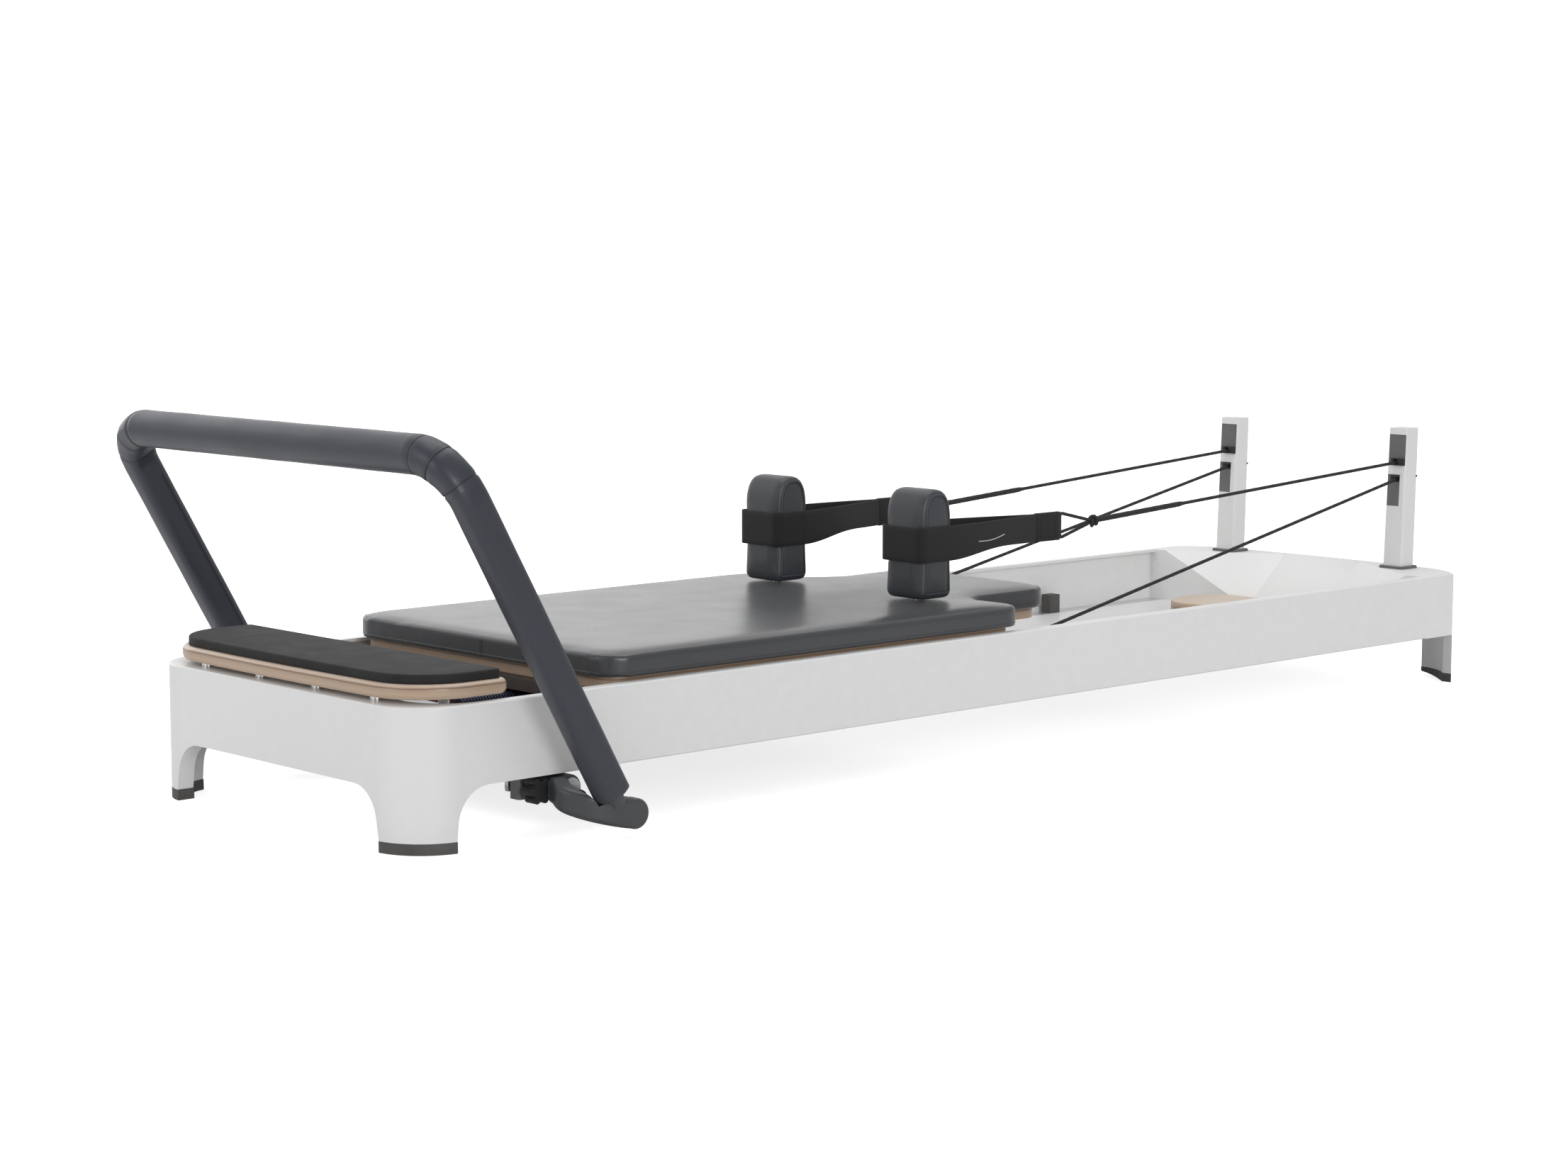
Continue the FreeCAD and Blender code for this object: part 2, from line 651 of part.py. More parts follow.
def pad_half_outline(grow, z):
    """The left half of the pad's outline from the foot edge to the rounded head end."""
    foot = PAD_FOOT - grow
    half = PAD_HALF + grow
    corner = 50.0 + grow
    q = 1 - math.sqrt(0.5)
    neck = 182.0 + grow
    head = PAD_HEAD + grow
    shoulder = PAD_SHOULDER + grow
    turn = 42.0 + grow
    hollow = 48.0 - grow
    end = 60.0 + grow
    edges = [line(vec(foot, 0, z), vec(foot, half - corner, z))]
    edges.append(arc(vec(foot, half - corner, z), vec(foot + corner * q, half - corner * q, z),
                     vec(foot + corner, half, z)))
    edges.append(line(vec(foot + corner, half, z), vec(shoulder - turn, half, z)))
    edges.append(arc(vec(shoulder - turn, half, z), vec(shoulder - turn * q, half - turn * q, z),
                     vec(shoulder, half - turn, z)))
    edges.append(line(vec(shoulder, half - turn, z), vec(shoulder, neck + hollow, z)))
    edges.append(arc(vec(shoulder, neck + hollow, z), vec(shoulder + hollow * q, neck + hollow * q, z),
                     vec(shoulder + hollow, neck, z)))
    edges.append(line(vec(shoulder + hollow, neck, z), vec(head - end, neck, z)))
    edges.append(arc(vec(head - end, neck, z), vec(head - end * q, neck - end * q, z),
                     vec(head, neck - end, z)))
    edges.append(line(vec(head, neck - end, z), vec(head, 0, z)))
    return edges


def pad_plan(grow, low, thickness):
    half = Part.Face(Part.Wire(pad_half_outline(grow, low) + [line(vec(PAD_HEAD + grow, 0, low),
                                                                  vec(PAD_FOOT - grow, 0, low))]))
    left = half.extrude(vec(0, 0, thickness))
    return left.fuse(mirrored(left)).removeSplitter()


def carriage_pad():
    pad = pad_plan(0, PAD_BOTTOM, PAD_TOP - PAD_BOTTOM)
    for side in (-1, 1):
        pad = pad.cut(rod_z(REST_X, side * REST_Y, PAD_BOTTOM - 1, PAD_TOP + 1, 9.3))
    return pad


def carriage_board():
    """Plywood deck a little smaller than the pad."""
    low = PAD_BOTTOM - BOARD_THICKNESS
    board = pad_plan(-22, low, BOARD_THICKNESS)
    for side in (-1, 1):
        board = board.cut(rod_z(REST_X, side * REST_Y, low - 1, PAD_BOTTOM + 1, 15.1))
    return board


def carriage_frame():
    """Welded frame below the board: side bars, cross bars, spring plate and guide wheel arms."""
    top = PAD_BOTTOM - BOARD_THICKNESS
    cross = top - 18
    pieces = [box(x - 15, x + 15, -263, 263, cross, top) for x in (PAD_FOOT + 15, SPRING_PLATE_X, 1140.0)]
    for side in (-1, 1):
        y0, y1 = sorted((side * 262.0, side * 286.0))
        pieces.append(box(PAD_FOOT, 1160, y0, y1, 118, top))
        stop = side * 243.0
        pieces.append(box(PAD_FOOT, PAD_FOOT + 6, stop - 20, stop + 20, 126, cross + 1))
        for x in GUIDE_STATIONS:
            a0, a1 = sorted((side * 285.0, side * 319.0))
            pieces.append(box(x - 12, x + 12, a0, a1, 181, top))
    for y in SPRING_YS:
        pieces.append(rod_z(SPRING_PLATE_X, y, SPRING_Z - 10, cross + 1, 4))
    frame = pieces[0].fuse(pieces[1:])
    for x in WHEEL_STATIONS:
        for side in (-1, 1):
            y0, y1 = sorted((side * 261.0, side * 287.0))
            frame = frame.cut(rod_y(x, y0, y1, TRACK_TOP + WHEEL_RADIUS + ROLL_GAP, 6.02))
    for x in GUIDE_STATIONS:
        for side in (-1, 1):
            frame = frame.cut(rod_z(x, side * guide_y(), 180, top + 1, 4.02))
    return frame.removeSplitter()


def guide_y():
    return HALF_WIDTH - RAIL_WALL - GUIDE_RADIUS - ROLL_GAP


def load_wheel(x, side):
    """Polyurethane tyre wheel with a bore for its axle."""
    z = TRACK_TOP + WHEEL_RADIUS + ROLL_GAP
    y = side * WHEEL_Y
    wheel = rod_y(x, y - 10, y + 10, z, WHEEL_RADIUS)
    wheel = round_edges(wheel, 3, lambda m, run: True)
    for face in (-1, 1):
        ring = rod_y(x, y + face * 10 - 3, y + face * 10 + 3, z, 18)
        ring = ring.cut(rod_y(x, y - 20, y + 20, z, 9.5))
        wheel = wheel.cut(ring)
    return wheel.cut(rod_y(x, y - 20, y + 20, z, 6 + RUNNING))


def load_wheel_axles():
    axles = []
    z = TRACK_TOP + WHEEL_RADIUS + ROLL_GAP
    for x in WHEEL_STATIONS:
        shank = rod_y(x, 262, 316, z, 6)
        head = rod_y(x, 314.5, 318, z, 9)
        axles += both_sides(shank.fuse(head))
    return axles


def guide_wheel(x, side):
    """Small roller that keeps the carriage between the rail walls."""
    y = side * guide_y()
    wheel = rod_z(x, y, 162, 178, GUIDE_RADIUS)
    wheel = round_edges(wheel, 2, lambda m, run: True)
    return wheel.cut(rod_z(x, y, 161, 179, 4 + RUNNING))


def guide_wheel_pins():
    pins = []
    for x in GUIDE_STATIONS:
        shank = rod_z(x, guide_y(), 160, 186.5, 4)
        head = rod_z(x, guide_y(), 157, 161, 7)
        pins += both_sides(shank.fuse(head))
    return pins


def rope_cleats():
    """Cleats below the carriage that hold the lower rope ends."""
    x, y, z = CLEAT
    plate = box(1160.5, x - 6, y - 14, y + 14, z - 16, z + 16)
    arm = box(1144, 1162, y - 14, y + 14, z + 2, 168.5)
    cleat = plate.fuse(arm)
    cleat = cleat.fuse(rod_x(x - 7, x - 1.5, y, z, 7))
    return both_sides(cleat)


def rest_sockets():
    """Flanged steel tubes under the board that take the shoulder rest posts."""
    low = 132.0
    top = PAD_BOTTOM - BOARD_THICKNESS
    tube = rod_z(REST_X, REST_Y, low, PAD_BOTTOM - 0.5, 14.8)
    flange = rod_z(REST_X, REST_Y, top - 4, top, 30)
    socket = tube.fuse(flange)
    socket = socket.cut(rod_z(REST_X, REST_Y, low - 1, PAD_BOTTOM + 1, 9 + RUNNING))
    return both_sides(socket)


# Shoulder rests


def rest_pad():
    """Upholstered block with an arched top, seen from the side."""
    half = REST_LENGTH / 2
    low = REST_BASE
    high = REST_BASE + REST_HEIGHT
    spring_line = high - 62.0
    y0 = REST_Y - REST_WIDTH / 2
    corner = 14.0
    q = corner * (1 - math.sqrt(0.5))
    x0, x1 = REST_X - half, REST_X + half
    edges = [
        line(vec(x0, y0, low + corner), vec(x0, y0, spring_line)),
        arc(vec(x0, y0, spring_line), vec(x0 + 9.5, y0, spring_line + 42), vec(x0 + half, y0, high)),
        arc(vec(x0 + half, y0, high), vec(x1 - 9.5, y0, spring_line + 42), vec(x1, y0, spring_line)),
        line(vec(x1, y0, spring_line), vec(x1, y0, low + corner)),
        arc(vec(x1, y0, low + corner), vec(x1 - q, y0, low + q), vec(x1 - corner, y0, low)),
        line(vec(x1 - corner, y0, low), vec(x0 + corner, y0, low)),
        arc(vec(x0 + corner, y0, low), vec(x0 + q, y0, low + q), vec(x0, y0, low + corner)),
    ]
    block = Part.Face(Part.Wire(edges)).extrude(vec(0, REST_WIDTH, 0))
    block = round_edges(block, REST_EDGE, lambda m, run: abs(m.y - REST_Y) > REST_WIDTH / 2 - 0.1)
    return block.cut(rod_z(REST_X, REST_Y, low - 1, low + 60, 9.1))


def rest_post():
    """Steel post with a plate between the pad and the carriage."""
    post = rod_z(REST_X, REST_Y, 140, REST_BASE + 58, 9)
    plate = rounded_box(REST_X - 24, REST_X + 24, REST_Y - 30, REST_Y + 30, PAD_TOP + 0.2, REST_BASE - 0.1, 8)
    return post.fuse(plate)


# Straps and ropes


def strap_half_widths():
    """Outer and inner plan edges of one strap: round the rest and on to the strap's end."""
    gap = 0.6
    reach = REST_LENGTH / 2 + gap
    side = REST_WIDTH / 2 + gap
    end_half = 4.0
    return reach, side, end_half


def strap_plan(extra, z):
    reach, side, end_half = strap_half_widths()
    x0 = REST_X - reach - extra
    x1 = REST_X + reach
    s = side + extra
    corner = REST_EDGE - 1 + extra
    q = corner * (1 - math.sqrt(0.5))
    e = end_half + extra
    end = STRAP_END - 52
    mid_x = (x1 + end) / 2 + 20
    centre = ROPE_Y
    left_mid = (REST_Y + s + centre + e) / 2 - 9
    right_mid = (REST_Y - s + centre - e) / 2 + 9
    return [
        arc(vec(x0, REST_Y - s + corner, z), vec(x0 + q, REST_Y - s + q, z), vec(x0 + corner, REST_Y - s, z)),
        line(vec(x0 + corner, REST_Y - s, z), vec(x1 - 2, REST_Y - s, z)),
        arc(vec(x1 - 2, REST_Y - s, z), vec(mid_x, right_mid, z), vec(end, centre - e, z)),
        line(vec(end, centre - e, z), vec(end, centre + e, z)),
        arc(vec(end, centre + e, z), vec(mid_x, left_mid, z), vec(x1 - 2, REST_Y + s, z)),
        line(vec(x1 - 2, REST_Y + s, z), vec(x0 + corner, REST_Y + s, z)),
        arc(vec(x0 + corner, REST_Y + s, z), vec(x0 + q, REST_Y + s - q, z), vec(x0, REST_Y + s - corner, z)),
        line(vec(x0, REST_Y + s - corner, z), vec(x0, REST_Y - s + corner, z)),
    ]


def loop_strap():
    """Webbing loop round the rest that closes into one flat tail."""
    height = BAND_HIGH - BAND_LOW
    outer = slab(strap_plan(STRAP_THICKNESS, BAND_LOW), height)
    inner = slab(strap_plan(0, BAND_LOW - 1), height + 2)
    loop = outer.cut(inner)
    tail_low = KNOT_Z - 24
    tail_high = KNOT_Z + 20
    tail = box(STRAP_END - 53, STRAP_END, ROPE_Y - 3.2, ROPE_Y + 3.2, tail_low, tail_high)
    return loop.fuse(tail)


def strap_rope():
    """Cord triangle from the strap's end to the knot."""
    x = STRAP_END + ROPE_RADIUS + 0.3
    knot = vec(KNOT_X, ROPE_Y, KNOT_Z)
    top = vec(x, ROPE_Y, KNOT_Z + 19)
    bottom = vec(x, ROPE_Y, KNOT_Z - 23)
    shape = rod_between(bottom, top, ROPE_RADIUS)
    for corner in (top, bottom):
        shape = shape.fuse(rod_between(corner, knot, ROPE_RADIUS))
        shape = shape.fuse(Part.makeSphere(ROPE_RADIUS, corner))
    return shape.fuse(Part.makeSphere(9, knot))


def tangent_angle(point, above):
    """Direction from the pulley's centre to the point where a line from a far point touches its wrap."""
    run_x = PULLEY_X - point.x
    run_z = PULLEY_Z - point.z
    distance = math.hypot(run_x, run_z)
    slope = math.atan2(run_z, run_x)
    offset = math.asin(ROPE_WRAP / distance)
    return slope + offset if above else slope - offset


def wrap_point(angle, above):
    side = 1 if above else -1
    x = PULLEY_X - side * ROPE_WRAP * math.sin(angle)
    z = PULLEY_Z + side * ROPE_WRAP * math.cos(angle)
    return vec(x, POST_Y, z)


def pulley_rope():
    """One rope: splice and upper run, half a turn round the pulley, lower run to the cleat."""
    start = vec(KNOT_X + 9.5, ROPE_Y, KNOT_Z + 1)
    upper_angle = tangent_angle(start, True)
    upper = wrap_point(upper_angle, True)
    cleat = vec(*CLEAT)
    lower_angle = tangent_angle(cleat, False)
    lower = wrap_point(lower_angle, False)
    splice_end = start.add(upper.sub(start).multiply(0.27))
    rope = rod_between(start, splice_end, ROPE_RADIUS + 1.6)
    rope = rope.fuse(rod_between(splice_end, upper, ROPE_RADIUS))
    ring = Part.makeTorus(ROPE_WRAP, ROPE_RADIUS, vec(PULLEY_X, POST_Y, PULLEY_Z), vec(0, 1, 0))
    front = polygon_prism([
        vec(PULLEY_X, POST_Y - 10, PULLEY_Z),
        vec(upper.x + (upper.x - PULLEY_X) * 2, POST_Y - 10, PULLEY_Z + (upper.z - PULLEY_Z) * 3),
        vec(PULLEY_X - 60, POST_Y - 10, PULLEY_Z),
        vec(lower.x + (lower.x - PULLEY_X) * 2, POST_Y - 10, PULLEY_Z + (lower.z - PULLEY_Z) * 3),
    ], vec(0, 20, 0))
    rope = rope.fuse(ring.cut(front))
    return rope.fuse(rod_between(lower, cleat, ROPE_RADIUS))


# Risers


def post_section(z, length, width, corner):
    """Plan section of the leaning post at a height."""
    x = POST_X + POST_LEAN * (z - RAIL_TOP) / (POST_TOP - RAIL_TOP)
    y0, y1 = POST_Y - width / 2, POST_Y + width / 2
    block = rounded_box(x - length / 2, x + length / 2, y0, y1, z, z + 1, corner)
    bottom = min(block.Faces, key=lambda face: face.CenterOfMass.z)
    return bottom.OuterWire


def post_core(inset, low, high):
    """Solid post body drawn in from the outer faces by an inset."""
    corner = max(5.0 - inset, 1.0)
    foot = post_section(low, 40 - 2 * inset, 42 - 2 * inset, corner)
    head = post_section(high, 38 - 2 * inset, 40 - 2 * inset, corner)
    return Part.makeLoft([foot, head], True, True)


def window_boxes(margin):
    """The two openings in the foot side of a post; the lower one is narrower."""
    x0, x1 = PULLEY_X - 45, PULLEY_X - 11 - margin
    upper = box(x0, x1, POST_Y - 18.5 + margin, POST_Y + 18.5 - margin, 391 + margin, 448 - margin)
    lower = box(x0, x1, POST_Y - 9 + margin, POST_Y + 18.5 - margin, 316 + margin, 374 - margin)
    return [upper, lower]


def riser_post():
    """Hollow leaning post with two windows towards the foot end."""
    base_z = RAIL_TOP + 5
    post = post_core(0, base_z, POST_TOP)
    post = post.cut(post_core(2.5, base_z - 0.01, POST_TOP - 4))
    for window in window_boxes(0):
        post = post.cut(window)
    post = post.cut(rod_y(PULLEY_X, POST_Y - 18.9, POST_Y + 18.9, PULLEY_Z, 3.02))
    return post.cut(rod_y(POST_X + 22, POST_Y - 30, POST_Y - 16, 371, 1.8))


def post_liners():
    """Grey insert behind each window, set in a little from the post's face."""
    outer = post_core(1.0, RAIL_TOP + 6, POST_TOP - 1)
    skin = outer.cut(post_core(2.4, RAIL_TOP + 5.9, POST_TOP - 0.9))
    upper, lower = window_boxes(0.2)
    above_rope = box(PULLEY_X - 50, PULLEY_X, POST_Y - 30, POST_Y + 30, 404.2, POST_TOP)
    below_rope = box(PULLEY_X - 50, PULLEY_X, POST_Y - 30, POST_Y + 30, 300, 361)
    return [skin.common(upper).common(above_rope), skin.common(lower).common(below_rope)]


def post_base_plate():
    plate = rounded_box(POST_X - 25, POST_X + 25, POST_Y - 27, POST_Y + 27, RAIL_TOP, RAIL_TOP + 5, 6)
    return round_edges(plate, 2, lambda m, run: abs(run.z) < 1 and m.z > RAIL_TOP + 4.9)


def rope_guides():
    """Black pieces in a post's windows: a block with a slot, a lip above the lower rope, and a side pin."""
    x0, x1 = PULLEY_X - 21, PULLEY_X - 15
    block = box(x0, x1, POST_Y - 18.3, POST_Y + 10, 391.2, 404)
    block = block.cut(box(x0 - 1, x1 + 1, POST_Y - 4.5, POST_Y + 4.5, 393, 402.8))
    lip = box(x0, x1, POST_Y - 8.8, POST_Y + 9, 369.8, 373.8)
    pin = rod_y(POST_X + 22, POST_Y - 21.5, POST_Y - 17.5, 371, 1.8 - 0.02)
    return [block, lip, pin]


def pulley():
    """Grooved pulley for the rope."""
    half = 6.5
    groove = ROPE_WRAP - ROPE_RADIUS - 0.1
    profile = [
        vec(3 + RUNNING, -half, 0),
        vec(PULLEY_RADIUS, -half, 0),
        vec(PULLEY_RADIUS, -half + 1.2, 0),
        vec(groove, -3.4, 0),
        vec(groove, 3.4, 0),
        vec(PULLEY_RADIUS, half - 1.2, 0),
        vec(PULLEY_RADIUS, half, 0),
        vec(3 + RUNNING, half, 0),
    ]
    face = Part.Face(Part.makePolygon(profile + [profile[0]]))
    wheel = face.revolve(vec(0, 0, 0), vec(0, 1, 0), 360)
    wheel.translate(vec(PULLEY_X, POST_Y, PULLEY_Z))
    return wheel


def pulley_axle():
    return rod_y(PULLEY_X, POST_Y - 18.8, POST_Y + 18.8, PULLEY_Z, 3)


def at_both_posts(shapes):
    """The left post's pieces and the same pieces moved to the right post, not mirrored."""
    moved = []
    for shape in shapes:
        other = shape.copy()
        other.translate(vec(0, -2 * POST_Y, 0))
        moved.append(other)
    return list(shapes) + moved


def main():
    export("foot_end_frame", foot_end_frame())
    export("front_foot_pads", *front_foot_pads())
    export("head_end_frame", head_end_frame())
    export("rear_foot_pads", *rear_foot_pads())
    export("head_deck", head_deck())
    export("head_board", head_board())
    rail = side_rail()
    export("left_rail", rail)
    export("right_rail", mirrored(rail))
    export("rail_tracks", *both_sides(rail_track()))
    export("floor_tray", floor_tray())
    export("spring_tray", spring_tray())
    export("cross_braces", *cross_braces(), platform_beam())
    export("rail_block", rail_block())
    export("carriage_stops", *carriage_stops())
    export("platform_board", platform_board())
    export("platform_mat", platform_mat())
    export("platform_standoffs", *platform_standoffs())
    export("spring_bar", spring_bar())
    export("springs_firm", *[spring(y) for y in (-160.0, 0.0, 160.0)])
    export("springs_light", *[spring(y) for y in (-80.0, 80.0)])
    export("footbar_tube", footbar_tube())
    export("footbar_cover", footbar_cover())
    export("footbar_cranks", *both_sides(footbar_crank()))
    export("footbar_stub_shafts", *both_sides(stub_shaft()))
    export("footbar_index_plate", index_plate())
    export("pivot_blocks", *pivot_blocks())
    export("lock_knob", lock_knob())
    export("carriage_pad", carriage_pad())
    export("carriage_board", carriage_board())
    export("carriage_frame", carriage_frame())
    export("load_wheel_axles", *load_wheel_axles())
    export("guide_wheel_pins", *guide_wheel_pins())
    for end, wheel_x, guide_x in zip(("foot", "head"), WHEEL_STATIONS, GUIDE_STATIONS):
        for name, side in (("left", 1), ("right", -1)):
            export(name + "_" + end + "_wheel", load_wheel(wheel_x, side))
            export(name + "_" + end + "_guide_wheel", guide_wheel(guide_x, side))
    export("rope_cleats", *rope_cleats())
    export("rest_sockets", *rest_sockets())
    left_side = {
        "rest_pad": rest_pad(),
        "rest_post": rest_post(),
        "strap": loop_strap(),
        "strap_rope": strap_rope(),
        "rope": pulley_rope(),
        "pulley": pulley(),
    }
    for name, shape in left_side.items():
        export("left_" + name, shape)
        export("right_" + name, mirrored(shape))
    for name, post in zip(("left", "right"), at_both_posts([riser_post()])):
        export(name + "_post", post)
    export("post_liners", *at_both_posts(post_liners()))
    export("post_base_plates", *at_both_posts([post_base_plate()]))
    export("rope_guides", *at_both_posts(rope_guides()))
    export("pulley_axles", *at_both_posts([pulley_axle()]))


main()
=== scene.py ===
import json
import math

import bmesh
import bpy
from mathutils import Matrix, Vector
from mathutils.bvhtree import BVHTree


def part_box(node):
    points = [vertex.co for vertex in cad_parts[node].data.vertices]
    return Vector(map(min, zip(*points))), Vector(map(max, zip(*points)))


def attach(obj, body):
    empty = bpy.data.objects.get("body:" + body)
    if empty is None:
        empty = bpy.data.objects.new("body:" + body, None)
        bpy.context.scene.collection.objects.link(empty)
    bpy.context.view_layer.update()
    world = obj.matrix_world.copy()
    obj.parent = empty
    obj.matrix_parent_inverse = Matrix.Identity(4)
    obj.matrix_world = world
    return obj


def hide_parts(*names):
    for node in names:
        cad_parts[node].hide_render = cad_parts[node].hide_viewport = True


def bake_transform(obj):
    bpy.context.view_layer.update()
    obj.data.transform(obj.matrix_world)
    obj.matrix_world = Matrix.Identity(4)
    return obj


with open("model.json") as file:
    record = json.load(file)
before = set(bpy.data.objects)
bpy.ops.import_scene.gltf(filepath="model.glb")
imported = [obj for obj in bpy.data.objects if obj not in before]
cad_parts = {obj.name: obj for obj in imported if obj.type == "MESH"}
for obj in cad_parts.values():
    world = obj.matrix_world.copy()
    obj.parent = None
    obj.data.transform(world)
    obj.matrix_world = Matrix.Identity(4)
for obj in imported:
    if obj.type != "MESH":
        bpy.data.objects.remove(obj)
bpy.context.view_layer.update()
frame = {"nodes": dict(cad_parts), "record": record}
nodes = frame["nodes"]
MM = 0.001
PUFF_FRAMES = 20
Z_UP = Vector((0, 0, 1))
SIDES = (("left", 1), ("right", -1))


# Materials: each is a small node tree in object or UV coordinates, kept under its own name

MATERIALS = {}


def blank_material(name, roughness, metallic=0.0, coat=0.0, sheen=0.0):
    mat = bpy.data.materials.new(name)
    MATERIALS[name] = mat
    mat.use_nodes = True
    shader = mat.node_tree.nodes["Principled BSDF"]
    shader.inputs["Roughness"].default_value = roughness
    shader.inputs["Metallic"].default_value = metallic
    shader.inputs["Coat Weight"].default_value = coat
    shader.inputs["Coat Roughness"].default_value = 0.25
    shader.inputs["Sheen Weight"].default_value = sheen
    shader.inputs["Sheen Roughness"].default_value = 0.5
    return mat


def node(mat, kind, **inputs):
    """Adds a node; inputs are named with underscores for spaces."""
    made = mat.node_tree.nodes.new(kind)
    for key, value in inputs.items():
        made.inputs[key.replace("_", " ")].default_value = value
    return made


def join(mat, source, target):
    mat.node_tree.links.new(source, target)


def coordinates(mat, stretch=(1, 1, 1), kind="Object"):
    place = node(mat, "ShaderNodeTexCoord")
    mapping = node(mat, "ShaderNodeMapping", Scale=stretch)
    join(mat, place.outputs[kind], mapping.inputs["Vector"])
    return mapping.outputs["Vector"]


def noise(mat, vector, scale, detail=3.0, roughness=0.55):
    made = node(mat, "ShaderNodeTexNoise", Scale=scale, Detail=detail, Roughness=roughness)
    join(mat, vector, made.inputs["Vector"])
    return made.outputs["Fac"]


def cells(mat, vector, scale, feature="DISTANCE_TO_EDGE"):
    made = node(mat, "ShaderNodeTexVoronoi", Scale=scale)
    made.feature = feature
    join(mat, vector, made.inputs["Vector"])
    return made.outputs["Distance"]


def bands(mat, vector, scale, direction, distortion=0.0):
    made = node(mat, "ShaderNodeTexWave", Scale=scale, Distortion=distortion, Detail=2.0)
    made.bands_direction = direction
    join(mat, vector, made.inputs["Vector"])
    return made.outputs["Fac"]


def ramp(mat, factor, stops):
    """Colour ramp from (position, colour) stops; a number stands for a grey."""
    made = node(mat, "ShaderNodeValToRGB")
    elements = made.color_ramp.elements
    while len(elements) < len(stops):
        elements.new(0.5)
    for element, (position, colour) in zip(elements, stops):
        if isinstance(colour, (int, float)):
            colour = (colour, colour, colour)
        element.position = position
        element.color = (*colour, 1)
    join(mat, factor, made.inputs["Fac"])
    return made.outputs["Color"]


def combine(mat, operation, a, b):
    made = node(mat, "ShaderNodeMath")
    made.operation = operation
    for slot, value in zip(made.inputs, (a, b)):
        if isinstance(value, (int, float)):
            slot.default_value = value
        else:
            join(mat, value, slot)
    return made.outputs["Value"]


def shade(mat, a, b, factor):
    """Mixes two colours by a factor output."""
    made = node(mat, "ShaderNodeMix")
    made.data_type = "RGBA"
    for slot, value in ((made.inputs[6], a), (made.inputs[7], b)):
        if isinstance(value, tuple):
            slot.default_value = (*value, 1)
        else:
            join(mat, value, slot)
    join(mat, factor, made.inputs["Factor"])
    return made.outputs[2]


def bump(mat, height, strength, distance, under=None):
    made = node(mat, "ShaderNodeBump", Strength=strength, Distance=distance)
    join(mat, height, made.inputs["Height"])
    if under is not None:
        join(mat, under, made.inputs["Normal"])
    return made.outputs["Normal"]


def finish_material(mat, colour=None, roughness=None, normal=None):
    shader = mat.node_tree.nodes["Principled BSDF"]
    for key, value in (("Base Color", colour), ("Roughness", roughness), ("Normal", normal)):
        if value is not None:
            join(mat, value, shader.inputs[key])
    return mat


def painted(name, low, high, rough=(0.3, 0.42), coat=0.15, peel=0.05):
    """Sprayed paint: faint tone drift, orange peel and lightly rubbed edges."""
    mat = blank_material(name, rough[0], coat=coat)
    space = coordinates(mat)
    drift = noise(mat, space, 2.0, 1.0)
    base = ramp(mat, drift, [(0.3, low), (0.7, high)])
    geometry = node(mat, "ShaderNodeNewGeometry")
    edge = ramp(mat, geometry.outputs["Pointiness"], [(0.52, 0.0), (0.62, 1.0)])
    patchy = combine(mat, "MULTIPLY", edge, noise(mat, space, 60.0))
    worn = tuple(min(1.0, c * 1.06 + 0.005) for c in high)
    colour = shade(mat, base, worn, patchy)
    polish = ramp(mat, noise(mat, space, 6.0, 1.0), [(0.3, rough[0]), (0.7, rough[1])])
    skin = bump(mat, noise(mat, space, 700.0, 2.0), peel, 0.0004)
    return finish_material(mat, colour, polish, skin)


def vinyl(name, dark, light, rough=(0.36, 0.5), grain=900.0, coat=0.1):
    """Upholstery vinyl: fine leather grain over soft tone changes, duller in the valleys."""
    mat = blank_material(name, rough[0], coat=coat, sheen=0.05)
    space = coordinates(mat)
    cloud = noise(mat, space, 3.5, 1.5)
    grain_cells = cells(mat, space, grain)
    valley = ramp(mat, grain_cells, [(0.0, 0.0), (0.16, 1.0)])
    tone = ramp(mat, cloud, [(0.3, dark), (0.7, light)])
    deep = tuple(c * 0.78 for c in dark)
    colour = shade(mat, deep, tone, valley)
    polish = ramp(mat, noise(mat, space, 12.0, 1.5), [(0.3, rough[0]), (0.7, rough[1])])
    fine = bump(mat, valley, 0.16, 0.0002)
    creased = bump(mat, noise(mat, space, 90.0, 3.0), 0.012, 0.0005, fine)
    return finish_material(mat, colour, polish, creased)


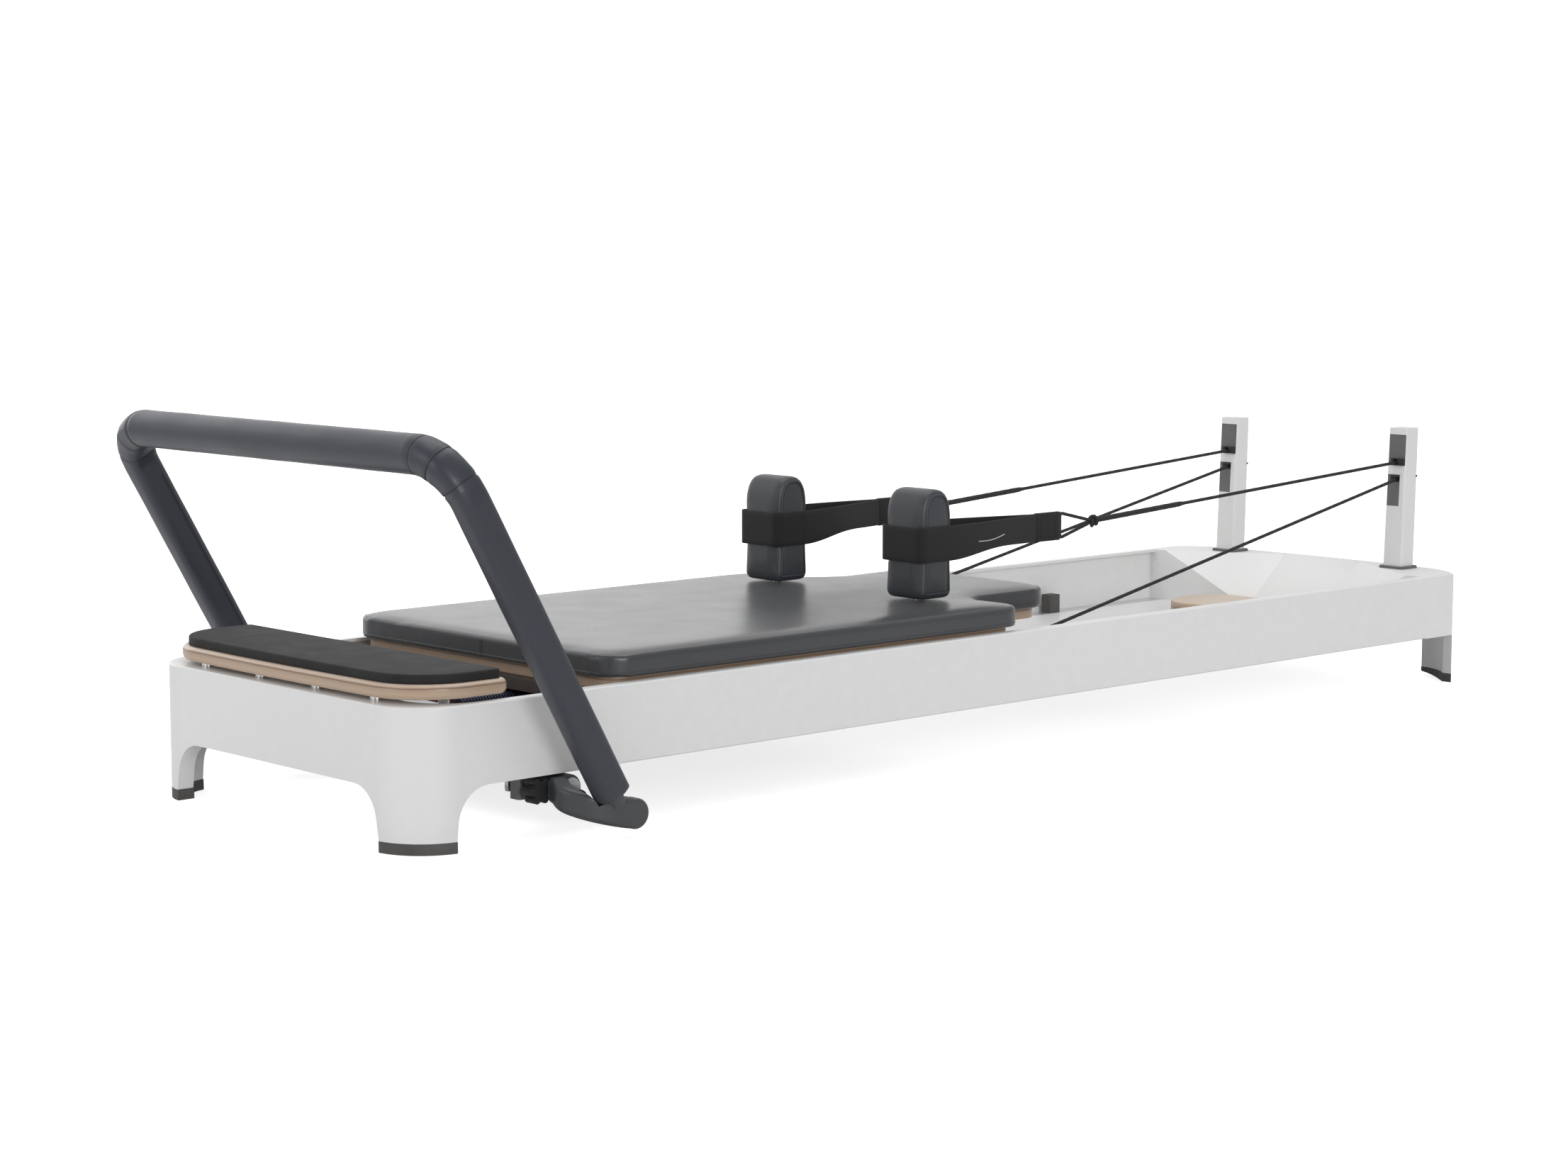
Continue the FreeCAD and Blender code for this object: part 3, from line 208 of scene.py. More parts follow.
def plywood(name):
    """Lacquered birch plywood: long grain on the faces, thin plies on the edges."""
    mat = blank_material(name, 0.4, coat=0.25)
    grain = noise(mat, coordinates(mat, (40.0, 2.2, 2.0)), 3.0, 4.0, 0.5)
    fine = noise(mat, coordinates(mat, (260.0, 9.0, 9.0)), 3.0, 3.0)
    coarse_share = combine(mat, "MULTIPLY", grain, 0.75)
    fine_share = combine(mat, "MULTIPLY", fine, 0.25)
    streaks = combine(mat, "ADD", coarse_share, fine_share)
    face_dark = (0.56, 0.43, 0.33)
    face_middle = (0.60, 0.475, 0.375)
    face_light = (0.63, 0.51, 0.41)
    face = ramp(mat, streaks, [(0.3, face_dark), (0.52, face_middle), (0.75, face_light)])
    ply = bands(mat, coordinates(mat), 15.0, "Z", 0.15)
    ply.node.inputs["Phase Offset"].default_value = 2.59
    glue = (0.24, 0.155, 0.105)
    ply_dark = (0.42, 0.30, 0.215)
    ply_light = (0.49, 0.36, 0.26)
    layers = ramp(mat, ply, [(0.0, glue), (0.05, ply_dark), (0.9, ply_light)])
    geometry = node(mat, "ShaderNodeNewGeometry")
    split = node(mat, "ShaderNodeSeparateXYZ")
    join(mat, geometry.outputs["Normal"], split.inputs["Vector"])
    flat = ramp(mat, combine(mat, "ABSOLUTE", split.outputs["Z"], 0.0), [(0.45, 0.0), (0.75, 1.0)])
    colour = shade(mat, layers, face, flat)
    normal = bump(mat, streaks, 0.08, 0.0004)
    polish = ramp(mat, grain, [(0.3, 0.34), (0.7, 0.48)])
    return finish_material(mat, colour, polish, normal)


def foam(name):
    """Closed-cell foam mat with a fine pebbled face."""
    mat = blank_material(name, 0.8, sheen=0.03)
    space = coordinates(mat)
    pebbles = cells(mat, space, 520.0, "F1")
    drift = noise(mat, space, 7.0)
    colour = ramp(mat, drift, [(0.3, (0.010, 0.0102, 0.0100)), (0.7, (0.015, 0.0152, 0.0148))])
    polish = ramp(mat, noise(mat, space, 25.0), [(0.3, 0.78), (0.7, 0.9)])
    return finish_material(mat, colour, polish, bump(mat, pebbles, 0.35, 0.0004))


def webbing(name):
    """Flat woven webbing: ribs across the band and a herringbone along it, in UV metres."""
    mat = blank_material(name, 0.8, sheen=0.08)
    space = coordinates(mat, kind="UV")
    rib = bands(mat, space, 420.0, "X")
    twill = bands(mat, space, 300.0, "DIAGONAL", 1.0)
    weave = combine(mat, "MULTIPLY", rib, twill)
    fibre = noise(mat, coordinates(mat), 900.0)
    height = combine(mat, "ADD", weave, combine(mat, "MULTIPLY", fibre, 0.4))
    colour = ramp(mat, weave, [(0.0, (0.0045, 0.0045, 0.005)), (0.8, (0.017, 0.017, 0.018))])
    return finish_material(mat, colour, None, bump(mat, height, 0.5, 0.0004))


def braid(name, dark, light):
    """Braided cord: crossing diagonal strands in UV metres."""
    mat = blank_material(name, 0.7, sheen=0.03)
    space = coordinates(mat, kind="UV")
    one = bands(mat, space, 210.0, "DIAGONAL")
    other = bands(mat, coordinates(mat, (1, -1, 1), "UV"), 210.0, "DIAGONAL")
    strands = combine(mat, "MAXIMUM", one, other)
    colour = ramp(mat, strands, [(0.2, dark), (0.9, light)])
    return finish_material(mat, colour, None, bump(mat, strands, 0.6, 0.0005))


def metal(name, tone, rough=(0.22, 0.38), stretch=(1, 60, 60), scale=12.0):
    """Brushed metal: streaks along one axis in tone and roughness."""
    mat = blank_material(name, rough[0], metallic=1.0)
    streak = noise(mat, coordinates(mat, stretch), scale, 4.0)
    low = tuple(c * 0.86 for c in tone)
    colour = ramp(mat, streak, [(0.3, low), (0.7, tone)])
    polish = ramp(mat, streak, [(0.3, rough[0]), (0.7, rough[1])])
    return finish_material(mat, colour, polish, bump(mat, streak, 0.05, 0.0002))


def moulded(name, dark, light, rough=(0.45, 0.6), texture=650.0):
    """Moulded plastic or rubber with a fine spark texture."""
    mat = blank_material(name, rough[0])
    space = coordinates(mat)
    colour = ramp(mat, noise(mat, space, 18.0), [(0.3, dark), (0.7, light)])
    polish = ramp(mat, noise(mat, space, 90.0), [(0.3, rough[0]), (0.7, rough[1])])
    return finish_material(mat, colour, polish, bump(mat, noise(mat, space, texture, 2.0), 0.15, 0.0003))


painted("white_paint", (0.745, 0.745, 0.745), (0.76, 0.76, 0.76), (0.34, 0.38))
painted("white_moulding", (0.76, 0.76, 0.76), (0.775, 0.775, 0.775), (0.44, 0.48), 0.05)
moulded("white_plastic", (0.76, 0.76, 0.76), (0.82, 0.82, 0.82), (0.35, 0.45))
painted("graphite_paint", (0.040, 0.044, 0.048), (0.052, 0.057, 0.062), (0.34, 0.46), 0.2, 0.12)
painted("cast_block", (0.11, 0.115, 0.12), (0.14, 0.145, 0.15), (0.4, 0.5), 0.05, 0.2)
painted("frame_metal", (0.05, 0.04, 0.035), (0.07, 0.055, 0.045), (0.45, 0.6), 0.0, 0.1)
# brown_panel is painted shade: a dark brown sheet under the springs that stands in for the shadowed space
# beneath the carriage
painted("brown_panel", (0.045, 0.03, 0.022), (0.065, 0.045, 0.033), (0.5, 0.65), 0.0, 0.08)
PAD_VINYL = vinyl("upholstery", (0.046, 0.048, 0.053), (0.053, 0.056, 0.062), (0.27, 0.31), coat=0.25)
REST_VINYL = vinyl("rest_upholstery", (0.043, 0.048, 0.056), (0.050, 0.056, 0.065), (0.40, 0.48))
BAR_VINYL = vinyl("bar_cover", (0.031, 0.036, 0.050), (0.037, 0.043, 0.059), (0.36, 0.44), 1100.0)
plywood("plywood")
FOAM = foam("foam_mat")
WEB = webbing("webbing")
CORD = braid("cord", (0.004, 0.004, 0.0045), (0.02, 0.02, 0.021))
metal("bare_steel", (0.56, 0.57, 0.58))
metal("chrome_metal", (0.82, 0.82, 0.84), (0.05, 0.12), (60, 60, 1), 4.0)
metal("track_metal", (0.80, 0.80, 0.81), (0.3, 0.45))
moulded("foot_rubber", (0.075, 0.072, 0.070), (0.10, 0.096, 0.093), (0.6, 0.75))
moulded("black_plastic", (0.012, 0.012, 0.012), (0.02, 0.02, 0.02))
moulded("grey_plastic", (0.11, 0.11, 0.115), (0.15, 0.15, 0.155))
moulded("wheel_tyre", (0.05, 0.05, 0.055), (0.075, 0.075, 0.08), (0.3, 0.4))
THREAD = moulded("thread", (0.012, 0.013, 0.015), (0.018, 0.019, 0.022), (0.5, 0.6), 1500.0)
# Pale material for the painted highlight line along a crease on the strap's outer ply
PAINTED_HIGHLIGHT = moulded("pale_thread", (0.42, 0.42, 0.42), (0.56, 0.56, 0.56), (0.35, 0.5), 1500.0)
RED_COIL = painted("spring_red", (0.10, 0.012, 0.010), (0.13, 0.016, 0.014), (0.3, 0.4))
BLUE_COIL = painted("spring_blue", (0.010, 0.016, 0.045), (0.014, 0.022, 0.06), (0.3, 0.4))


def dress_cad_nodes():
    """Gives every CAD node the material that has its slot's name."""
    for entry in frame["record"]["subparts"]:
        mesh = nodes[entry["node"]].data
        mesh.materials.clear()
        mesh.materials.append(MATERIALS[entry["material_slot"]])


# Mesh helpers


def add_object(name, data):
    obj = bpy.data.objects.new(name, data)
    bpy.context.scene.collection.objects.link(obj)
    return obj


def piece(name, mesh, material):
    obj = add_object(name, mesh)
    mesh.materials.clear()
    mesh.materials.append(material)
    return obj


def ride_piece(name, mesh, material, body, stand_in=None):
    """A piece that moves with one body and may replace a CAD node, its stand-in."""
    obj = piece(name, mesh, material)
    if stand_in:
        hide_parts(stand_in)
    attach(obj, body)
    return obj


def smooth(mesh):
    mesh.polygons.foreach_set("use_smooth", [True] * len(mesh.polygons))


def mesh_from(name, made):
    """Mesh with the content of an edit mesh, which is freed."""
    mesh = bpy.data.meshes.new(name)
    made.to_mesh(mesh)
    made.free()
    return mesh


def skin(name, verts, faces, uvs):
    """Smooth mesh with a UV pair for each corner of each face."""
    mesh = bpy.data.meshes.new(name)
    mesh.from_pydata([tuple(v) for v in verts], [], faces)
    layer = mesh.uv_layers.new(name="UVMap")
    layer.data.foreach_set("uv", [value for corners in uvs for pair in corners for value in pair])
    smooth(mesh)
    return mesh


def carried_frames(path, first, closed):
    """Side vectors carried along a path without twist."""
    frames = []
    side = first.normalized()
    count = len(path)
    for i in range(count):
        if closed:
            ahead, behind = path[(i + 1) % count], path[i - 1]
        else:
            ahead, behind = path[min(i + 1, count - 1)], path[max(i - 1, 0)]
        tangent = (ahead - behind).normalized()
        side = (side - tangent * side.dot(tangent)).normalized()
        frames.append((side, tangent.cross(side)))
    return frames


def run_lengths(path):
    """Length from the start of a path to each of its points."""
    lengths = [0.0]
    for a, b in zip(path, path[1:]):
        lengths.append(lengths[-1] + (b - a).length)
    return lengths


def sweep(name, path, section, first, closed=False):
    """Skins outlines along a path. section(length) gives (a, b) offsets; UVs are in metres."""
    frames = carried_frames(path, first, closed)
    lengths = run_lengths(path)
    verts, rings = [], []
    for i, point in enumerate(path):
        side, up = frames[i]
        outline = section(lengths[i])
        rings.append(range(len(verts), len(verts) + len(outline)))
        verts += [point + side * a + up * b for a, b in outline]
    n = len(rings[0])
    first_ring = [verts[k] for k in rings[0]]
    around = [0.0]
    for a, b in zip(first_ring, first_ring[1:] + first_ring[:1]):
        around.append(around[-1] + (b - a).length)
    faces, uvs = [], []
    spans = len(path) if closed else len(path) - 1
    lengths.append(lengths[-1] + (path[0] - path[-1]).length)
    for i in range(spans):
        low, high = rings[i], rings[(i + 1) % len(path)]
        for j in range(n):
            k = (j + 1) % n
            faces.append((low[j], low[k], high[k], high[j]))
            u0, u1, v0, v1 = lengths[i], lengths[i + 1], around[j], around[j + 1]
            uvs.append(((u0, v0), (u0, v1), (u1, v1), (u1, v0)))
    if not closed:
        for ring, flip in ((rings[0], True), (rings[-1], False)):
            centre = len(verts)
            verts.append(sum((verts[k] for k in ring), Vector()) / n)
            for j in range(n):
                pair = (ring[(j + 1) % n], ring[j]) if flip else (ring[j], ring[(j + 1) % n])
                faces.append((*pair, centre))
                uvs.append(((0, 0), (0.001, 0), (0, 0.001)))
    return skin(name, verts, faces, uvs)


def circle(radius, count=12):
    return [(radius * math.cos(2 * math.pi * k / count), radius * math.sin(2 * math.pi * k / count))
            for k in range(count)]


def tube(name, path, radius, first=None, closed=False, count=12):
    first = first or Vector((0.31, 0.17, 0.94))
    outline = circle(radius, count)
    return sweep(name, path, lambda length: outline, first, closed)


def cord_section(radius, lobes=8, count=24, twist=260.0, depth=0.06):
    """Round cord whose strands show as shallow lobes that turn along it."""

    def section(length):
        outline = []
        for k in range(count):
            turn = 2 * math.pi * k / count
            r = radius * (1 - depth + depth * math.cos(lobes * turn + twist * length))
            outline.append((r * math.cos(turn), r * math.sin(turn)))
        return outline

    return section


def resample(points, step):
    """Evenly spaced points along a polyline."""
    result = [points[0].copy()]
    for a, b in zip(points, points[1:]):
        span = (b - a).length
        count = max(1, round(span / step))
        for k in range(1, count + 1):
            result.append(a.lerp(b, k / count))
    return result


def plan_arc(centre, radius, start, end, count=10):
    """Plan points on an arc; angles in degrees."""
    points = []
    for k in range(count + 1):
        turn = math.radians(start + (end - start) * k / count)
        points.append(Vector((centre[0] + radius * math.cos(turn), centre[1] + radius * math.sin(turn), 0)))
    return points


def round_over(count):
    """Shares of a radius over a quarter turn: the first falls from 1 to 0, the second rises from 0 to 1."""
    turns = [math.pi / 2 * k / count for k in range(count + 1)]
    return [(1 - math.sin(turn), 1 - math.cos(turn)) for turn in turns]


def slab_mesh(name, rings):
    """Closed mesh from stacked rings of equal count, capped with faces."""
    verts = [tuple(p) for ring in rings for p in ring]
    n = len(rings[0])
    faces = []
    for i in range(len(rings) - 1):
        for j in range(n):
            k = (j + 1) % n
            faces.append((i * n + j, i * n + k, (i + 1) * n + k, (i + 1) * n + j))
    faces.append(tuple(reversed(range(n))))
    faces.append(tuple(range((len(rings) - 1) * n, len(rings) * n)))
    mesh = bpy.data.meshes.new(name)
    mesh.from_pydata(verts, [], faces)
    return mesh


def inset_outline(points, amount):
    """Moves a closed plan outline inwards (counter-clockwise points)."""
    result = []
    for i, p in enumerate(points):
        before, after = points[i - 1], points[(i + 1) % len(points)]
        one = (p - before).normalized()
        two = (after - p).normalized()
        inward = Vector((-(one.y + two.y), one.x + two.x, 0))
        if inward.length < 1e-9:
            inward = Vector((-one.y, one.x, 0))
        inward.normalize()
        half = max(0.5, math.sqrt(max(0.0, (1 + one.dot(two)) / 2)))
        result.append(p + inward * amount / half)
    return result


def keep_modified(obj):
    """Replaces an object's mesh with what its modifiers make of it."""
    graph = bpy.context.evaluated_depsgraph_get()
    made = bpy.data.meshes.new_from_object(obj.evaluated_get(graph))
    obj.modifiers.clear()
    obj.data = made


def remesh(obj, voxel):
    bpy.context.view_layer.objects.active = obj
    mod = obj.modifiers.new("remesh", "REMESH")
    mod.mode = "VOXEL"
    mod.voxel_size = voxel
    keep_modified(obj)


def puff(obj, cap, floor_z):
    """Inflates a closed mesh as cloth for a few frames, with each point's move held under a cap."""
    rest = [v.co.copy() for v in obj.data.vertices]
    mod = obj.modifiers.new("cloth", "CLOTH")
    mod.settings.use_pressure = True
    mod.settings.uniform_pressure_force = 4.0
    mod.settings.effector_weights.gravity = 0
    mod.settings.quality = 4
    mod.settings.mass = 0.3
    mod.settings.tension_stiffness = 20
    mod.settings.compression_stiffness = 20
    mod.settings.bending_stiffness = 5.0
    mod.collision_settings.use_collision = False
    mod.point_cache.frame_start = 1
    mod.point_cache.frame_end = PUFF_FRAMES
    for step in range(PUFF_FRAMES):
        bpy.context.scene.frame_set(step + 1)
    graph = bpy.context.evaluated_depsgraph_get()
    moved = [v.co.copy() for v in obj.evaluated_get(graph).data.vertices]
    obj.modifiers.clear()
    bpy.context.scene.frame_set(1)
    for v, before, after in zip(obj.data.vertices, rest, moved):
        step = after - before
        if step.length > cap:
            step = step * (cap / step.length)
        v.co = before + step
    for v in obj.data.vertices:
        v.co.z = max(v.co.z, floor_z)
    obj.data.update()


def soften(obj, factor, repeat):
    mod = obj.modifiers.new("smooth", "SMOOTH")
    mod.factor = factor
    mod.iterations = repeat
    keep_modified(obj)


def even_out(obj, level, repeat):
    """Smooths only the points above a level, so an upper face loses small waves and keeps its edge."""
    made = bmesh.new()
    made.from_mesh(obj.data)
    upper = [v for v in made.verts if v.co.z > level]
    axes = {"use_axis_x": True, "use_axis_y": True, "use_axis_z": True}
    for _ in range(repeat):
        bmesh.ops.smooth_vert(made, verts=upper, factor=0.5, **axes)
    made.to_mesh(obj.data)
    made.free()


def surface_of(obj):
    mesh = obj.data
    return BVHTree.FromPolygons([v.co for v in mesh.vertices], [p.vertices[:] for p in mesh.polygons])


def laid_on(tree, points, lift):
    """Points moved to the nearest spot of a surface, and raised off it."""
    result = []
    for p in points:
        place, normal, _, _ = tree.find_nearest(p)
        result.append(place + normal * lift)
    return result


def stitch_row(name, points, pitch=4.0 * MM, length=2.8 * MM, radius=0.45 * MM):
    """A row of small spindle-shaped stitches along a polyline."""
    fine = 0.5 * MM
    dense = resample(points, fine)
    gap = max(1, round(pitch / fine))
    span = max(1, round(length / fine))
    made = bmesh.new()
    for start in range(0, len(dense) - span, gap):
        a, b = dense[start], dense[start + span]
        axis = b - a
        if axis.length < 1e-6:
            continue
        place = Matrix.Translation((a + b) / 2) @ axis.to_track_quat("Z", "Y").to_matrix().to_4x4()
        scale = Matrix.Diagonal((radius, radius, axis.length / 2, 1))
        bmesh.ops.create_icosphere(made, subdivisions=1, radius=1.0, matrix=place @ scale)
    mesh = mesh_from(name, made)
    smooth(mesh)
    return mesh


def join_meshes(name, meshes):
    made = bmesh.new()
    for mesh in meshes:
        made.from_mesh(mesh)
    mesh = mesh_from(name, made)
    smooth(mesh)
    return mesh


# Carriage pad

PAD_FOOT_CORNER = 56 * MM
PAD_HEAD_CORNER = 60 * MM
PAD_HEAD_LENGTH = 224 * MM
PAD_HEAD_HALF = 182 * MM
SHOULDER_CORNER = 42 * MM
SHOULDER_HOLLOW = 48 * MM
PAD_GAP = 4.0 * MM
PAD_EDGE = 4.0 * MM
POST_HOLE_RADIUS = 9.4 * MM


def pad_outline(low, high):
    """Counter-clockwise plan outline of the pad: wide body, shoulders and a narrower head section."""
    half = high.y
    shoulder = high.x - PAD_HEAD_LENGTH
    corner = PAD_FOOT_CORNER
    turn = SHOULDER_CORNER
    hollow = SHOULDER_HOLLOW
    end = PAD_HEAD_CORNER
    right = [Vector((low.x, 0, 0))]
    right += plan_arc((low.x + corner, -half + corner), corner, 180, 270)
    right += plan_arc((shoulder - turn, -half + turn), turn, 270, 360)
    right += list(reversed(plan_arc((shoulder + hollow, -PAD_HEAD_HALF - hollow), hollow, 90, 180)))
    right += plan_arc((high.x - end, -PAD_HEAD_HALF + end), end, 270, 360)
    right.append(Vector((high.x, 0, 0)))
    left = [Vector((p.x, -p.y, 0)) for p in reversed(right[1:-1])]
    return right + left


def upholster(obj, material):
    """Gives a reshaped mesh its material again, and smooth shading."""
    obj.data.materials.clear()
    obj.data.materials.append(material)
    smooth(obj.data)


def build_carriage_pad():
    """Cushion a little smaller than the CAD pad, which the puffing fills up again."""
    low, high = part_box("carriage_pad")
    shape = pad_outline(low, high)
    dense = resample(shape + [shape[0]], 12 * MM)[:-1]
    thickness = high.z - low.z - 2.0 * MM
    base = low.z + 0.3 * MM
    rings = [(PAD_GAP + PAD_EDGE * 0.5 * a, PAD_EDGE * 0.5 * b) for a, b in round_over(6)]
    rings += [(PAD_GAP + PAD_EDGE * b, thickness - PAD_EDGE * a) for a, b in round_over(6)[1:]]
    solid = []
    for inset, z in rings:
        solid.append([p + Vector((0, 0, base + z)) for p in inset_outline(dense, inset)])
    mesh = slab_mesh("carriage_pad_soft", solid)
    obj = piece("carriage_pad_soft", mesh, PAD_VINYL)
    remesh(obj, 4.5 * MM)
    soften(obj, 0.5, 1)
    puff(obj, PAD_GAP, low.z + 0.2 * MM)
    soften(obj, 0.5, 1)
    even_out(obj, low.z + thickness - 0.2 * MM, 40)
    upholster(obj, PAD_VINYL)
    tree = surface_of(obj)
    cut_post_holes(obj, low, high)
    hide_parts("carriage_pad")
    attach(obj, "carriage")
    pad_seams(tree, low, dense)


def cut_post_holes(obj, low, high):
    """Opens the pad where the shoulder rest posts go through."""
    radii = {"radius1": POST_HOLE_RADIUS, "radius2": POST_HOLE_RADIUS}
    for side, _ in SIDES:
        a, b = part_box(side + "_rest_post")
        centre = (a + b) / 2
        place = Matrix.Translation((centre.x, centre.y, (low.z + high.z) / 2))
        made = bmesh.new()
        bmesh.ops.create_cone(made, cap_ends=True, segments=32, depth=0.2, matrix=place, **radii)
        cutter = add_object("hole", mesh_from("hole", made))
        mod = obj.modifiers.new("hole", "BOOLEAN")
        mod.operation = "DIFFERENCE"
        mod.object = cutter
        keep_modified(obj)
        bpy.data.objects.remove(cutter)


def pad_seams(tree, low, outline):
    """Welt line round the lower edge and the upright closing seam in the foot end's side."""
    welt = [p + Vector((0, 0, low.z + 6.0 * MM)) for p in outline]
    around = laid_on(tree, welt, 0.1 * MM)
    mesh = tube("pad_welt", around, 0.9 * MM, closed=True, count=8)
    ride_piece("pad_welt", mesh, PAD_VINYL, "carriage")
    seam_y = -19 * MM
    upright = [Vector((low.x - 5 * MM, seam_y, low.z + z * MM)) for z in range(2, 31)]
    line = laid_on(tree, upright, 0.0)
    mesh = tube("pad_closing_seam", line, 0.7 * MM, count=8)
    ride_piece("pad_closing_seam", mesh, THREAD, "carriage")
    for label, offset in (("a", -3.5), ("b", 3.5)):
        row = [p + Vector((0, offset * MM, 0)) for p in upright]
        name = "pad_stitches_" + label
        mesh = stitch_row(name, laid_on(tree, row, 0.1 * MM))
        ride_piece(name, mesh, THREAD, "carriage")


# Shoulder rests

REST_HALF = 38 * MM
REST_RISE = 60 * MM
REST_CORNER = 15 * MM
REST_GAP = 3.0 * MM
REST_EDGE = 9.0 * MM


def rest_profile(low, high):
    """Side view of a rest, counter-clockwise in X and Z, with an arched top."""
    half = (high.x - low.x) / 2
    cx = (low.x + high.x) / 2
    corner = REST_CORNER
    points = plan_arc((low.x + corner, low.z + corner), corner, 180, 270, 8)
    points += plan_arc((high.x - corner, low.z + corner), corner, 270, 360, 8)
    power = 2 / 2.5
    for k in range(33):
        turn = math.pi * k / 32
        c, s = math.cos(turn), math.sin(turn)
        x = cx + half * math.copysign(abs(c) ** power, c)
        points.append(Vector((x, high.z - REST_RISE + REST_RISE * s ** power, 0)))
    return points


def build_rest(side, sign):
    """Upright cushion with an arched top, a welt and stitches near both faces."""
    low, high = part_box(side + "_rest_pad")
    low, high = low.copy(), high.copy()
    cx = (low.x + high.x) / 2
    low.x, high.x = cx - REST_HALF, cx + REST_HALF
    profile = rest_profile(low, high)
    shape = resample(profile + profile[:1], 6 * MM)[:-1]
    middle = (low.y + high.y) / 2
    depth = (high.y - low.y) / 2 - REST_GAP
    rings = [(REST_GAP + REST_EDGE * a, -depth + REST_EDGE * b) for a, b in round_over(6)]
    rings += [(REST_GAP + REST_EDGE * b, depth - REST_EDGE * a) for a, b in round_over(6)]
    solid = []
    for inset, y in rings:
        solid.append([Vector((p.x, middle - y, p.y)) for p in inset_outline(shape, inset)])
    mesh = slab_mesh(side + "_rest_soft", solid)
    obj = piece(side + "_rest_soft", mesh, REST_VINYL)
    remesh(obj, 4.0 * MM)
    soften(obj, 0.5, 2)
    puff(obj, REST_GAP, low.z + 0.2 * MM)
    soften(obj, 0.5, 2)
    upholster(obj, REST_VINYL)
    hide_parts(side + "_rest_pad")
    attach(obj, side + "_rest")
    tree = surface_of(obj)
    for face, out in (("outer", sign), ("inner", -sign)):
        y = (high.y if out > 0 else low.y) + out * 4 * MM
        line = [Vector((p.x, y, p.y)) for p in inset_outline(shape, 10 * MM)]
        welt = laid_on(tree, line, 0.3 * MM)
        name = side + "_rest_welt_" + face
        mesh = tube(name, welt, 1.5 * MM, closed=True, count=10)
        ride_piece(name, mesh, REST_VINYL, side + "_rest")
        row = [Vector((p.x, y, p.y)) for p in inset_outline(shape, 14 * MM)]
        name = side + "_rest_stitches_" + face
        mesh = stitch_row(name, laid_on(tree, row + row[:1], 0.1 * MM))
        ride_piece(name, mesh, THREAD, side + "_rest")


# Footbar cover

BAR_LEAN = math.radians(29.4)
BAR_RADIUS = 25 * MM
BAR_SWELL = 2.2 * MM
BEND_RADIUS = 70 * MM
ARM_LENGTH = 547 * MM
ARM_DEPTH = 24 * MM
ARM_WIDTH = 21 * MM
ARM_STRAIGHT = ARM_LENGTH - BEND_RADIUS
BEND_RUN = BEND_RADIUS * math.pi / 2
RING_SEAMS = [ARM_STRAIGHT + BEND_RUN * share for share in (0.25, 0.60, 0.905)]


def bar_place():
    """The footbar plane's top centre, down direction and normal, and the arms' distance from the middle."""
    low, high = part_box("footbar_cover")
    top = Vector((low.x + BAR_RADIUS, 0, high.z - BAR_RADIUS))
    down = Vector((math.sin(BAR_LEAN), 0, -math.cos(BAR_LEAN)))
    normal = Vector((math.cos(BAR_LEAN), 0, math.sin(BAR_LEAN)))
    return top, down, normal, high.y - BAR_RADIUS


def bar_path(arm_y, step=4 * MM):
    """Centre line from the right arm's end over the top to the left arm's end, as (y, s) pairs."""
    inner = arm_y - BEND_RADIUS
    count = round(ARM_STRAIGHT / step)
    right = [(-arm_y, ARM_LENGTH - ARM_STRAIGHT * k / count) for k in range(count)]
    bend = 28
    for k in range(bend + 1):
        turn = math.pi / 2 * k / bend
        right.append((-inner - BEND_RADIUS * math.cos(turn), BEND_RADIUS * (1 - math.sin(turn))))
    count = round(2 * inner / step)
    top = [(-inner + 2 * inner * k / count, 0.0) for k in range(1, count)]
    return right + top + [(-y, s) for y, s in reversed(right)]


def bar_section(total, count=56):
    """Squarish on the arms and round over the top, pinched at each ring seam and at the ends."""

    def section(length):
        near = min(length, total - length)
        share = min(1.0, max(0.0, (near - ARM_STRAIGHT) / BEND_RUN))
        share = share * share * (3 - 2 * share)
        power = 2 / (3.4 - 1.4 * share)
        a = ARM_DEPTH + (BAR_RADIUS + BAR_SWELL - ARM_DEPTH) * share
        b = ARM_WIDTH + (BAR_RADIUS + BAR_SWELL - ARM_WIDTH) * share
        scale = 1.0
        for seam in RING_SEAMS:
            away = (near - seam) / MM
            scale -= 0.045 * math.exp(-(away / 1.6) ** 2)
            scale += 0.012 * math.exp(-((abs(away) - 6) / 4) ** 2)
        end = near / (5 * MM)
        if end < 1:
            scale *= 0.80 + 0.20 * math.sqrt(1 - (1 - end) ** 2)
        outline = []
        for k in range(count):
            turn = 2 * math.pi * k / count
            c, s = math.cos(turn), math.sin(turn)
            soft = 1 + 0.006 * math.sin(near * 38 + 3 * turn) * math.sin(near * 17 + turn)
            x = a * math.copysign(abs(c) ** power, c)
            y = b * math.copysign(abs(s) ** power, s)
            outline.append((x * scale * soft, y * scale * soft))
        return outline

    return section


def build_footbar_cover():
    top, down, normal, arm_y = bar_place()
    path = [top + Vector((0, y, 0)) + down * s for y, s in bar_path(arm_y)]
    lengths = run_lengths(path)
    mesh = sweep("footbar_cover_soft", path, bar_section(lengths[-1]), normal)
    obj = ride_piece("footbar_cover_soft", mesh, BAR_VINYL, "footbar", "footbar_cover")
    tree = surface_of(obj)
    for side, sign in SIDES:
        for index, seam in enumerate(RING_SEAMS):
            at = min(range(len(lengths)), key=lambda k: abs(lengths[k] - seam))
            bar_ring_seam(f"{side}_bar_seam_{index}", tree, path, at, sign, normal)
        shoulder = top + Vector((0, sign * arm_y, 0))
        arm_seam(side, tree, [shoulder + down * s * MM for s in range(90, 536, 5)], sign, normal)


